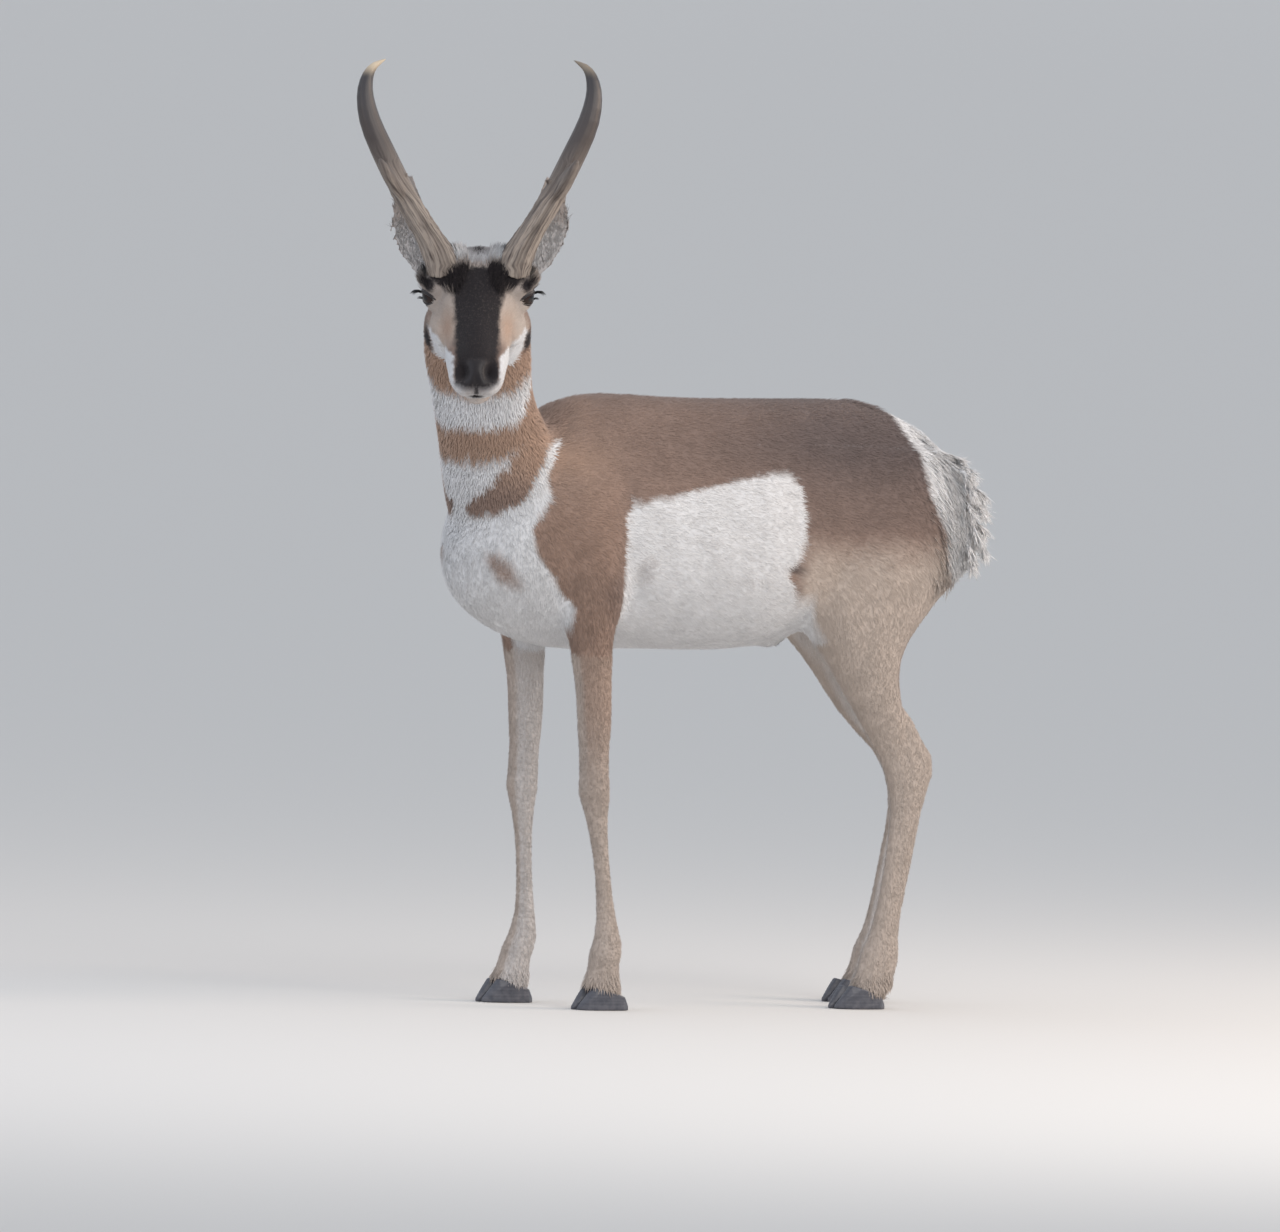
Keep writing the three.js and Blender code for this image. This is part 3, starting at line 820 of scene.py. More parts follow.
@dataclass
class Markings:
    """The colours of the coat as soft shapes on the body and face frames."""

    anatomy: Anatomy
    # Outlines seen from the side, as (distance behind the withers, height).
    flank: tuple[tuple[float, float], ...] = (
        (0, 560), (-1, 629), (-1, 688), (12, 704), (60, 716), (121, 729), (200, 744), (262, 754),
        (282, 748), (293, 730), (298, 700), (296, 655), (284, 628), (270, 610), (300, 560), (330, 480),
        (16, 480),
    )
    shoulder_front: tuple[tuple[float, float], ...] = (
        (480, -70), (533, -73), (564, -77), (588, -101), (638, -143), (671, -146), (716, -116), (752, -122),
        (786, -90), (800, -80),
    )
    rump_front: tuple[tuple[float, float], ...] = (
        (560, 640), (600, 590), (614, 578), (629, 549), (672, 545), (719, 521), (744, 517), (813, 509),
        (870, 500),
    )

    def throat(self, body: Array) -> tuple[Array, Array]:
        """The angle round the neck from the throat in degrees, to the left, and the height.

        Args:
            body: Points in the body frame.

        Returns:
            Two rows of numbers.
        """
        height = body[:, 2]
        rows = np.array([(640, 0, -70, 0), (700, 3, -110, 3), (750, 10, -145, 12), (796, 22, -172, 24),
                         (838, 32, -194, 36), (880, 41, -209, 46), (970, 57, -225, 55)], float)
        x, y, yaw = (np.interp(height, rows[:, 0], rows[:, i]) for i in (1, 2, 3))
        angle = np.degrees(np.arctan2(body[:, 0] - x, -(body[:, 1] - y))) - yaw
        return (angle + 180) % 360 - 180, height

    def masks(self, points: Array, normals: Array, region: Array) -> tuple[Array, Array]:
        """The masks of each colour.

        Args:
            points: Places in the row frame, in metres.
            normals: The hide's normals there.
            region: The number of the region of each place.

        Returns:
            Two arrays of four masks each: white, umber, black, buff; and tan, grey, shade, wet.
        """
        body, face = self.anatomy.on_body(points), self.anatomy.on_face(points)
        wander = mottle(body, 22.0) * 4 + mottle(body, 7.0, 5) * 2.5
        warm, cool = np.zeros((len(points), 4)), np.zeros((len(points), 4))
        cool[:, 2] = 0.5
        trunk = np.isin(region, [Region.TRUNK.value, Region.LEG.value, Region.TAIL.value])
        self._trunk(body, normals, wander, warm, cool, trunk & (region != Region.LEG.value))
        self._legs(body, normals, wander, warm, cool, region == Region.LEG.value)
        neck = region == Region.NECK.value
        self._neck(body, wander, warm, cool, neck | (region == Region.TRUNK.value))
        self._head(face, warm, cool, region == Region.HEAD.value)
        self._ears(points, normals, warm, cool, region == Region.EAR.value)
        tail = region == Region.TAIL.value
        warm[tail] = [0.95, 0, 0, 0]
        return warm, cool

    def _trunk(
        self, body: Array, normals: Array, wander: Array, warm: Array, cool: Array, on: Array
    ) -> None:
        """Brown back, white flank, belly, chest and rump, pale thigh.

        Args:
            body: Places in the body frame.
            normals: The hide's normals there.
            wander: How far borders stray there, in mm.
            warm: White, umber, black and buff masks, which are set here.
            cool: Tan, grey, shade and wet masks, which are set here.
            on: Which places it speaks of.
        """
        p, n, w = body[on], normals[on], wander[on]
        x, y, z = p.T
        flank = ease(inside(p[:, 1:] + np.stack([w, w], 1) * 0.5, self.flank), -5, 6)
        belly = ease(-n[:, 2], 0.3, 0.7) * ease(y, 420, 330) * ease(z, 640, 600)
        armpit = ease(np.abs(x), 84, 66) * ease(z, 618, 586) * ease(y, 60, 20)
        edge = np.interp(z, *np.array(self.shoulder_front).T)
        chest = ease(y + w * 0.7, edge + 6, edge - 6) * ease(z, 805, 780)
        back = np.interp(z, *np.array(self.rump_front).T)
        rump = ease(y + w * 0.7, back - 5, back + 6) * ease(z, 560, 600)
        rump = np.maximum(rump, ease(np.abs(x), 75, 45) * ease(y, 500, 530))
        warm[on, 0] = np.maximum.reduce([flank, belly, chest, rump, armpit])
        pale = ease(z + 2.0 * w, 692, 598) * ease(y, 268, 318)
        saddle = 0.4 * ease(z, 690, 800) + 0.5 * ease(y, 60, 400) * ease(z, 600, 700)
        # Painted shade: a dark line in the crease where the flank's fold meets the thigh.
        crease_shade = 0.8 * blob(p, (132, 280, 619), (30, 17, 5))
        seam = blob(p, (110, 575, 560), (60, 30, 70))
        crest = ease(np.abs(x), 30, 8) * ease(y, 425, 445) * ease(y, 500, 480) * ease(z, 830, 845)
        elbow = blob(p, (100, -20, 585), (60, 26, 32))
        spots = sum(blob(p, c, (9, 6, 7)) for c in ((90, -128, 745), (90, -120, 738), (92, -112, 752)))
        dark = saddle * (1 - pale) + seam * 0.35 + crest * 1.5 + elbow * 0.6 + crease_shade
        warm[on, 1] = np.clip(dark, 0, 1)
        warm[on, 3] = pale * (1 - 0.7 * seam) + 0.2 * ease(y, 60, -60) * ease(z, 600, 760)
        streak = np.stack([x, y, z + 0.9 * (x - 70)], 1)
        patch = blob(streak, (70, -178, 612), (18, 40, 26)) + blob(p, (-50, -195, 645), (20, 40, 30))
        patch = np.clip(patch * (1 + 0.6 * mottle(p, 16.0, 21)), 0, 1)
        cool[on, 0] = 0.25 * ease(y, 60, -40)
        warm[on, 0] *= 1 - np.clip(0.75 * patch + spots * 1.4 + crease_shade, 0, 0.95)
        # Greyer behind the elbow and low on the side of the belly.
        low_grey = blob(p, (100, 36, 616), (40, 17, 22)) + 0.5 * blob(p, (100, 215, 600), (50, 50, 16))
        cool[on, 1] = np.clip(low_grey * 0.9, 0, 1)
        warm[on, 0] *= 1 - 0.55 * np.clip(low_grey, 0, 1)

    def _legs(
        self, body: Array, normals: Array, wander: Array, warm: Array, cool: Array, on: Array
    ) -> None:
        """Buff legs, brown down the outside of the forearm, paler inside, and a brown seam behind.

        Args:
            body: Places in the body frame.
            normals: The hide's normals there.
            wander: How far borders stray there, in mm.
            warm: White, umber, black and buff masks, which are set here.
            cool: Tan, grey, shade and wet masks, which are set here.
            on: Which places it speaks of.
        """
        p, n, w = body[on], normals[on], wander[on]
        x, y, z = p.T
        outward = n[:, 0] * np.sign(x)
        fore = y < FORE_HIND
        brown = ease(outward, -0.1, 0.7) * ease(z + w, 220, 460) * fore
        buff = np.where(fore, 0.85 - 0.45 * brown, 0.95)
        seam = ease(n[:, 1], 0.45, 0.85) * ease(z, 380, 480) * ~fore
        warm[on, 3] = np.clip(buff - 0.6 * seam, 0, 1)
        thigh = ease(z, 430, 520) * ease(-outward, -0.3, 0.5) * ~fore
        warm[on, 0] = np.clip(0.45 * np.maximum(ease(-outward, 0.0, 0.8), thigh), 0, 1)
        warm[on, 0] = np.maximum(warm[on, 0], ease(-outward, 0.1, 0.5) * ease(z, 500, 545) * fore * 0.9)
        warm[on, 1] = 0.3 * brown * ease(z, 400, 540)
        cool[on, 0] = 0.3 * brown

    def _neck(self, body: Array, wander: Array, warm: Array, cool: Array, on: Array) -> None:
        """Two white bands and two brown ones across the throat, and a dark mane.

        Args:
            body: Places in the body frame.
            wander: How far borders stray there, in mm.
            warm: White, umber, black and buff masks, which are set here.
            cool: Tan, grey, shade and wet masks, which are set here.
            on: Which places it speaks of.
        """
        angle, z = (a[on] for a in self.throat(body))
        p, w = body[on], wander[on] * 0.6
        side = np.abs(angle)
        upper_low = np.interp(side, [0, 40, 70, 100], [808, 810, 826, 880])
        upper_high = np.interp(side, [0, 60, 85, 110], [852, 862, 885, 905])
        first = ease(z + w, upper_low - 5, upper_low + 5) * ease(z + w, upper_high + 8, upper_high - 8)
        first *= ease(side, 108, 88)
        lower_high = np.interp(side, [0, 30, 55, 70], [762, 764, 776, 790])
        lower_low = np.interp(side, [0, 4, 15, 30, 55, 70], [690, 700, 712, 730, 770, 792])
        second = ease(z + w, lower_low - 5, lower_low + 5) * ease(z + w, lower_high + 6, lower_high - 6)
        chest_top = np.interp(
            side, [0, 6, 12, 30, 55, 75, 98, 110], [715, 705, 688, 691, 706, 737, 774, 790]
        )
        edge = np.interp(p[:, 2], *np.array(self.shoulder_front).T)
        chest = ease(z + w, chest_top + 6, chest_top - 6) * ease(p[:, 1] + w, edge + 6, edge - 6)
        above = p[:, 2] > 640
        white = np.maximum.reduce([first, second, chest])
        index = np.nonzero(on)[0][above]
        band = ease(z, chest_top - 4, chest_top + 10) * ease(p[:, 1], edge + 30, edge - 5)
        old = warm[index, 0] * (1 - band[above])
        warm[index, 0] = np.maximum(old, white[above])
        mane = ease(side, 148, 170) * ease(p[:, 2], 830, 880)
        warm[index, 1] = np.maximum(warm[index, 1], (0.9 * mane)[above])
        high = (ease(p[:, 2], 690, 780) * ease(side, 160, 110))[above]
        cool[index, 0] = np.maximum(cool[index, 0], 0.55 * high)
        warm[index, 3] = np.maximum(warm[index, 3], 0.4 * high)

    def _head(self, face: Array, warm: Array, cool: Array, on: Array) -> None:
        """The dark mask, white cheeks and lips, black jaw patch and nose, grey crown; painted shade in the
        nostrils and the mouth, and painted warm light on the cream chin.

        Args:
            face: Places in the face frame.
            warm: White, umber, black and buff masks, which are set here.
            cool: Tan, grey, shade and wet masks, which are set here.
            on: Which places it speaks of.
        """
        p = np.concatenate([np.abs(face[on, :1]), face[on, 1:]], 1)
        x, y, z = p.T
        seen = 0.766 * z + 0.643 * y  # height above the eyes as the camera sees it
        w = mottle(face[on], 9.0, 7) * 2.5 + mottle(face[on], 4.0, 8) * 1.5
        half = np.interp(y, [-210, -150, -60, -32, -19, -14, -8, 12], [29, 30, 31, 35, 47, 56, 66, 70])
        edge = np.interp(x, [0, 14, 26, 38, 50, 64], [9, 7, 2, 4, 18, 24])
        mask = ease(x + w, half + 6, half - 5) * ease(y + w, edge + 5, edge - 5) * ease(z, -16, -2)
        inner = np.maximum(73 + (seen + 36) * 0.83, 31)
        outer = np.interp(seen, [-123, -110, -87, -73, -42], [42, 44, 54, 61, 69])
        cheek = ease(x + w, inner - 3, inner + 4) * ease(x - 0.6 * w, outer + 4, outer - 3)
        cheek *= ease(y, 32, 16)
        cheek *= 1 - ease(z, 4, 14) * ease(y, -120, -90)
        lips = ease(y, -160, -174) * ease(z, 1, -6)
        under = ease(z, -44, -58) * ease(y, -30, -60)
        # The chin's rim in cream: pale hair with painted warm light on it.
        lit_pale_chin = ease(z, -27, -33) * ease(y, -150, -165)
        jaw = blob(p, (70, 4, -80), (18, 24, 24)) * ease(x + 0.5 * w, outer - 3, outer + 4)
        nose = ease(x, 33, 28) * ease(y + w * 0.4, -155, -167) * ease(z, -6, 0)
        # Painted shade: the openings of the nostrils in black.
        nostril_shade = ease(blob(p, (20, -172, 6), (13, 19, 13)), 0.35, 0.7)
        philtrum = ease(x, 5, 2) * ease(y, -176, -184) * ease(z, -20, -14)
        # Painted shade: the opening of the mouth and the line of the lips in black.
        mouth_shade = ease(blob(p, (0, -194, -24), (15, 22, 6)), 0.3, 0.9)
        mouth_shade = np.maximum(mouth_shade, 0.55 * np.exp(-np.square((z + 33) / 2.4)) * ease(y, -105, -120))
        crown = ease(y + w, edge, edge + 8) * ease(y, 100, 75) * ease(z, 10, 30)
        hoary = 0.2 + 0.8 * blob(p, (28, 24, 46), (15, 20, 18)) + 0.25 * mottle(p, 8.0, 15)
        brow = ease(blob(p, (66, -7, 25), (14, 16, 13)), 0.3, 0.8)
        poll = blob(p, (0, 46, 46), (9, 12, 22))
        pale = [cheek * 0.95, lips * 0.75, under * 0.8 * (1 - lit_pale_chin), crown * hoary]
        warm[on, 0] = np.clip(np.maximum.reduce(pale), 0, 1)
        dark = [mask * 0.9, jaw * 1.15, nose, nostril_shade, philtrum * 0.8, mouth_shade * 0.9, brow * 0.9, poll]
        warm[on, 2] = np.clip(np.maximum.reduce(dark), 0, 1)
        fawn = np.maximum(ease(z, -40, -15) * ease(y, -140, -90), ease(seen, -52, -40))
        warm[on, 3] = 0.85 * fawn * ease(y, 40, 5)
        beside = 0.7 * blob(p, (40, -80, 4), (17, 38, 22))
        warm[on, 3] = np.maximum(warm[on, 3], lit_pale_chin * 0.9)
        warm[on, 0] *= 1 - 0.45 * lit_pale_chin
        cool[on, 0] = np.clip(0.85 * beside + 0.5 * ease(z, -60, -80) * (1 - lit_pale_chin) + 0.3 * lit_pale_chin, 0, 1)
        forehead = 0.35 * ease(y, -60, -10) * ease(z, -30, -10)
        muzzle = 0.7 * blob(p, (0, -198, -9), (17, 16, 9))
        cool[on, 1] = np.clip(np.maximum.reduce([forehead, muzzle, 0.8 * crown]), 0, 1)
        warm[on, 0] *= 1 - muzzle
        cool[on, 3] = nose * (1 - nostril_shade)

    def _ears(self, points: Array, normals: Array, warm: Array, cool: Array, on: Array) -> None:
        """Grey backs, white insides, dark rims and tips.

        Args:
            points: Places in the row frame.
            normals: The hide's normals there.
            warm: White, umber, black and buff masks, which are set here.
            cool: Tan, grey, shade and wet masks, which are set here.
            on: Which places it speaks of.
        """
        p = self.anatomy.on_crown(points[on])
        n = normals[on] @ self.anatomy.upright
        height = ease(p[:, 2], 10, 170)
        inner = ease(-n[:, 1], 0.1, 0.6)
        warm[on, 0] = 0.5 * inner * ease(height, 0.9, 0.3)
        dark = 0.4 * (1 - inner) + 0.5 * ease(height, 0.7, 1.0) + 0.3 * mottle(p, 14.0, 17)
        warm[on, 1] = np.clip(dark, 0, 1)
        warm[on, 3] = 0.75
        cool[on, 1] = 0.4


@dataclass
class Hide:
    """The skin over the whole body, under the coat, with bone and muscle modelled in it."""

    anatomy: Anatomy
    voxel: float = 2.5  # mm
    most_triangles: int = 186000
    skin_shade: float = 0.36  # of the skin between the tufts, which keep the light off it
    right_steps: tuple[float, float] = (-41.0, 94.0)  # how far the right legs stand behind the left
    body_forms: tuple[Mound, ...] = (
        Mound((112, -40, 640), (60, 34, 90), 5.0),  # muscle over the shoulder blade
        Mound((100, -70, 720), (50, 22, 60), 3.5),
        Mound((112, 5, 690), (40, 16, 90), -4.0),  # behind the shoulder
        Mound((104, -15, 565), (30, 20, 24), 4.5),  # elbow
        Mound((108, 25, 575), (40, 16, 40), -4.0),
        Mound((120, 120, 640), (50, 60, 60), 2.5),  # ribs
        Mound((116, 285, 700), (40, 34, 44), -5.0),  # hollow of the flank
        Mound((104, 330, 795), (34, 30, 24), 4.0),  # point of the hip
        Mound((118, 420, 650), (60, 60, 90), 4.0),  # thigh
        Mound((100, 300, 600), (34, 14, 34), 4.0),  # fold from flank to stifle
        Mound((100, 345, 575), (44, 26, 44), 3.5),  # stifle
        Mound((110, 500, 690), (40, 26, 90), -3.0),
        Mound((130, 284, 611), (34, 15, 10), -6.0),  # crease in front of the thigh
        Mound((0, 335, 512), (15, 30, 24), 11.0),  # sheath
        Mound((52, -150, 640), (14, 40, 60), -3.5),  # furrow beside the breast
        Mound((78, -120, 610), (16, 40, 50), 3.5),
    )
    face_forms: tuple[Mound, ...] = (
        Mound((46, -78, -16), (18, 34, 22), 4.0),
        Mound((58, -40, -24), (22, 30, 26), 9.0),  # cheek, wide under the eye
        Mound((52, -66, -42), (20, 26, 24), 9.0),  # and over the jaw
        Mound((50, 10, 38), (34, 30, 26), 6.5),  # swelling round the horn's foot
        Mound((34, -122, -12), (14, 34, 20), 8.0),  # side of the muzzle
        Mound((15, -197, -9), (7, 9, 6), 5.0),  # front of the lip
        Mound((31, -172, 4), (7, 16, 11), 3.5),  # wing of the nostril
        Mound((20, -173, 6), (9.5, 14, 10), -14.0),  # nostril
        Mound((0, -190, 2), (4, 16, 10), -2.0),  # groove between the nostrils
        Mound((0, -200, -24), (12, 16, 4), -4.0),  # opening of the mouth
        Mound((34, -110, -32), (8, 60, 3), -1.6),  # line of the mouth
        Mound((60, -40, -2), (12, 12, 8), -3.0),  # tear pit
        Mound((54, -60, -24), (10, 34, 6), 2.0),  # cheekbone
        Mound((0, -80, 24), (12, 70, 20), 2.0),  # bridge of the nose
        Mound((22, -120, 14), (8, 40, 10), -1.6),
    )
    nodes: tuple[str, ...] = field(init=False, repr=False)
    mesh: bpy.types.Mesh = field(init=False, repr=False)
    surface: Surface = field(init=False, repr=False)
    region: Array = field(init=False, repr=False)
    unwrap: Array = field(init=False, repr=False)
    warm: Array = field(init=False, repr=False)
    cool: Array = field(init=False, repr=False)
    _tree: BVHTree = field(init=False, repr=False)
    _face_region: Array = field(init=False, repr=False)

    def cast(self, frame: dict[str, Any]) -> "Hide":
        """Makes the skin from the frame's flesh, fairs it, sinks it by the coat's depth and models it.


        Returns:
            The hide itself, with `mesh`, `surface`, `region` and the coat's arrays set.
        """
        flesh = {
            name: node for name, node in frame["nodes"].items()
            if not name.startswith(("horn", "eye")) and "claw" not in name
        }
        self.nodes = tuple(flesh)
        mesh = whole_skin(recast(flesh.values(), self.voxel, 0.5, 1.2))
        self._index(flesh)
        surface = Surface.of(mesh)
        region = self._regions(surface.points)
        trunk = np.isin(region, [Region.TRUNK.value, Region.NECK.value]).astype(float)
        head = (region == Region.HEAD.value).astype(float)
        body = self.anatomy.on_body(surface.points)
        trunk = np.maximum(trunk, (region == Region.LEG.value) * ease(body[:, 2], 380, 470))
        trunk = surface.averaged(trunk, 12)
        points = surface.averaged(surface.points, 10, 0.5, 1.04)
        points = surface.averaged(points, 70, 0.5 * trunk)
        points = surface.averaged(points, 14, 0.5 * surface.averaged(head, 6))
        ear = (region == Region.EAR.value).astype(float)
        points = surface.averaged(points, 6, 0.5 * ear)
        points = surface.averaged(points, 40, 0.5 * ear, 1.03)
        place(mesh, points)
        surface = Surface.of(mesh)
        depth = self.across_regions(surface, region, "depth")
        body, face = self.anatomy.on_body(surface.points), self.anatomy.on_face(surface.points)
        rise = sum(form.rise(body) for form in self.body_forms) * trunk
        on_head = surface.averaged(head, 3)
        rise = rise + sum(form.rise(face) for form in self.face_forms) * on_head - depth
        rise = rise + self._sinews(body) * (region == Region.LEG.value)
        points = surface.points + surface.normals * (rise * MM)[:, None]
        face = self.anatomy.on_face(points)
        for side in Side:
            face = np.where((head > 0.5)[:, None], Socket(self.anatomy, side).opened(face), face)
        place(mesh, self.anatomy.from_face(face))
        mesh = self._thinned(mesh, np.maximum(0.0, 1 - on_head - (region == Region.EAR.value)))
        self.mesh = mesh
        self.surface = Surface.of(mesh)
        self.region = self._regions(self.surface.points)
        self._unwrap()
        log.info("hide: %d triangles", len(self.surface.triangles))
        return self

    def _index(self, flesh: dict[str, bpy.types.Object]) -> None:
        """A search tree over the flesh nodes, and the region of each of its faces.

        Args:
            flesh: The flesh nodes by name.
        """
        points, faces, regions = [], [], []
        for name, node in flesh.items():
            start = len(points)
            points += [v.co.copy() for v in node.data.vertices]
            faces += [[start + i for i in p.vertices] for p in node.data.polygons]
            regions += [region_of(name).value] * len(node.data.polygons)
        self._tree = BVHTree.FromPolygons(points, faces)
        self._face_region = np.array(regions)

    def _regions(self, points: Array) -> Array:
        """The region of the nearest flesh node to each point."""
        nearest = [self._tree.find_nearest(Vector(p))[2] for p in points]
        return self._face_region[np.array(nearest)]

    def across_regions(self, surface: Surface, region: Array, key: str) -> Array:
        """One of the pelages' numbers on each vertex, eased from region to region.

        Args:
            surface: The hide.
            region: The region of each vertex.
            key: Which number.

        Returns:
            One number for each vertex.
        """
        table = np.array([getattr(PELAGES[r], key) for r in Region], float)
        return surface.averaged(table[region], 10)

    def _sinews(self, body: Array) -> Array:
        """Tendons, joints and the hollow above the hock, in mm outward.

        Args:
            body: Points in the body frame.

        Returns:
            One distance for each point.
        """
        x, y, z = np.abs(body[:, 0]), body[:, 1], body[:, 2]
        fore, right = y < FORE_HIND, body[:, 0] < 0
        step = np.where(right, np.where(fore, *self.right_steps), 0.0)
        along = y - step
        knee = np.exp(-np.square((z - 300) / 24)) * fore * 1.6
        fetlock = np.exp(-np.square((z - 78) / 16)) * 2.0
        cannon = np.exp(-np.square((z - 180) / 60)) * -1.2
        q = np.stack([x, along, z], 1)
        hollow = blob(q, (96, 508, 420), (30, 11, 44)) * ~fore * -5.0
        hock = blob(q, (84, 560, 352), (30, 16, 20)) * ~fore * 2.0
        groove = blob(q, (98, 508, 180), (20, 7, 80)) * ~fore * -1.5
        return knee + fetlock + cannon + hollow + hock + groove

    def _thinned(self, mesh: bpy.types.Mesh, body: Array) -> bpy.types.Mesh:
        """The mesh with fewer triangles on the body, where the coat hides them.

        Args:
            mesh: The full mesh.
            body: 1 on the body, 0 where the mesh stays as it is.

        Returns:
            The thinned mesh.
        """
        form = bpy.data.objects.new("thinning", mesh)
        bpy.context.scene.collection.objects.link(form)
        group = form.vertex_groups.new(name="body")
        levels = np.clip((body * 4).round().astype(int), 0, 4)
        for level in range(5):
            group.add([int(i) for i in np.nonzero(levels == level)[0]], level / 4, "REPLACE")
        count = len(Surface.of(mesh).triangles)
        fewer = form.modifiers.new("fewer", "DECIMATE")
        fewer.ratio = min(1.0, self.most_triangles / count)
        fewer.vertex_group = "body"
        fewer.vertex_group_factor = 1.0
        made = bpy.data.meshes.new_from_object(form.evaluated_get(bpy.context.evaluated_depsgraph_get()))
        bpy.data.objects.remove(form)
        return made

    def _unwrap(self) -> None:
        """Unwraps the skin's own shape into the map that the coat's patches are set on."""
        self.mesh.uv_layers.new(name=BAKE_MAP)
        form = bpy.data.objects.new("unwrapping", self.mesh)
        bpy.context.scene.collection.objects.link(form)
        bpy.context.view_layer.objects.active = form
        form.select_set(True)
        bpy.ops.object.mode_set(mode="EDIT")
        bpy.ops.mesh.select_all(action="SELECT")
        bpy.ops.uv.smart_project(angle_limit=math.radians(72), island_margin=0.0)
        bpy.ops.object.mode_set(mode="OBJECT")
        bpy.data.objects.remove(form)
        self.mesh.calc_loop_triangles()
        loops = np.empty(len(self.mesh.loop_triangles) * 3, int)
        self.mesh.loop_triangles.foreach_get("loops", loops)
        spots = np.empty(len(self.mesh.loops) * 2)
        self.mesh.uv_layers[BAKE_MAP].uv.foreach_get("vector", spots)
        self.unwrap = spots.reshape(-1, 2)[loops].reshape(-1, 3, 2)

    def lie(self) -> Array:
        """The way the hair lies on each vertex, along the skin.

        Returns:
            One direction for each vertex.
        """
        s, a = self.surface, self.anatomy
        body, face = a.on_body(s.points), a.on_face(s.points)
        x, y, z = body.T
        back, down = np.array([0.0, 1.0, 0.0]), np.array([0.0, 0.0, -1.0])
        flow = np.tile(back + 0.35 * down, (len(s.points), 1))
        chest = ease(y, -60, -170)[:, None]
        flow = flow * (1 - chest) + (down + 0.15 * back) * chest
        rump = ease(y, 440, 580)[:, None]
        spread = np.stack([np.sign(x) * 0.35, np.full(len(x), 0.35), np.full(len(x), -0.9)], 1)
        flow = flow * (1 - rump) + spread * rump
        thigh = (ease(z, 680, 540) * ease(y, 300, 360))[:, None]
        flow = flow * (1 - thigh) + (down + 0.25 * back) * thigh
        shoulder = (ease(z, 660, 560) * ease(y, 40, -10))[:, None]
        flow = flow * (1 - shoulder) + (down + 0.1 * back) * shoulder
        r = self.region
        along_neck = unit(np.array([[-0.35, 0.45, -1.0]]))[0]
        flow = np.where((r == Region.NECK.value)[:, None], along_neck, flow)
        withers = np.isin(r, [Region.TRUNK.value, Region.NECK.value]) * ease(y, 60, -20)
        upper = (ease(s.averaged(s.normals, 6)[:, 2], 0.1, 0.5) * withers)[:, None]
        flow = flow * (1 - upper) + np.array([-0.1, 1.0, -0.2]) * upper
        flow = np.where((r == Region.LEG.value)[:, None], down + 0.05 * back, flow)
        flow = np.where((r == Region.TAIL.value)[:, None], down + 0.1 * back, flow)
        outward = np.stack([np.sign(face[:, 0]) * 0.25 * ease(np.abs(face[:, 0]), 4, 30),
                            np.ones(len(x)), -0.25 * ease(face[:, 2], 10, -20)], 1)
        flow = np.where((r == Region.HEAD.value)[:, None], outward @ a.face.T, flow)
        up = a.upright @ np.array([0.0, 0.1, 1.0])
        flow = np.where((r == Region.EAR.value)[:, None], up, flow)
        flow = s.averaged(unit(flow), 12)
        return unit(flow - (flow * s.normals).sum(1, keepdims=True) * s.normals)

    def dress(self, finish: bpy.types.Material, markings: Markings) -> bpy.types.Object:
        """Puts the skin into the scene with its markings.

        Args:
            finish: Its material.
            markings: The colours of the coat.

        Returns:
            The piece.
        """
        facing = unit(self.surface.averaged(self.surface.normals, 8))
        self.warm, self.cool = markings.masks(self.surface.points, facing, self.region)
        under = self.cool.copy()
        under[:, 2] = self.skin_shade
        note(self.mesh, "marks_a", self.warm)
        note(self.mesh, "marks_b", under)
        return added("hide", self.mesh, finish, "coat_brown", *self.nodes)


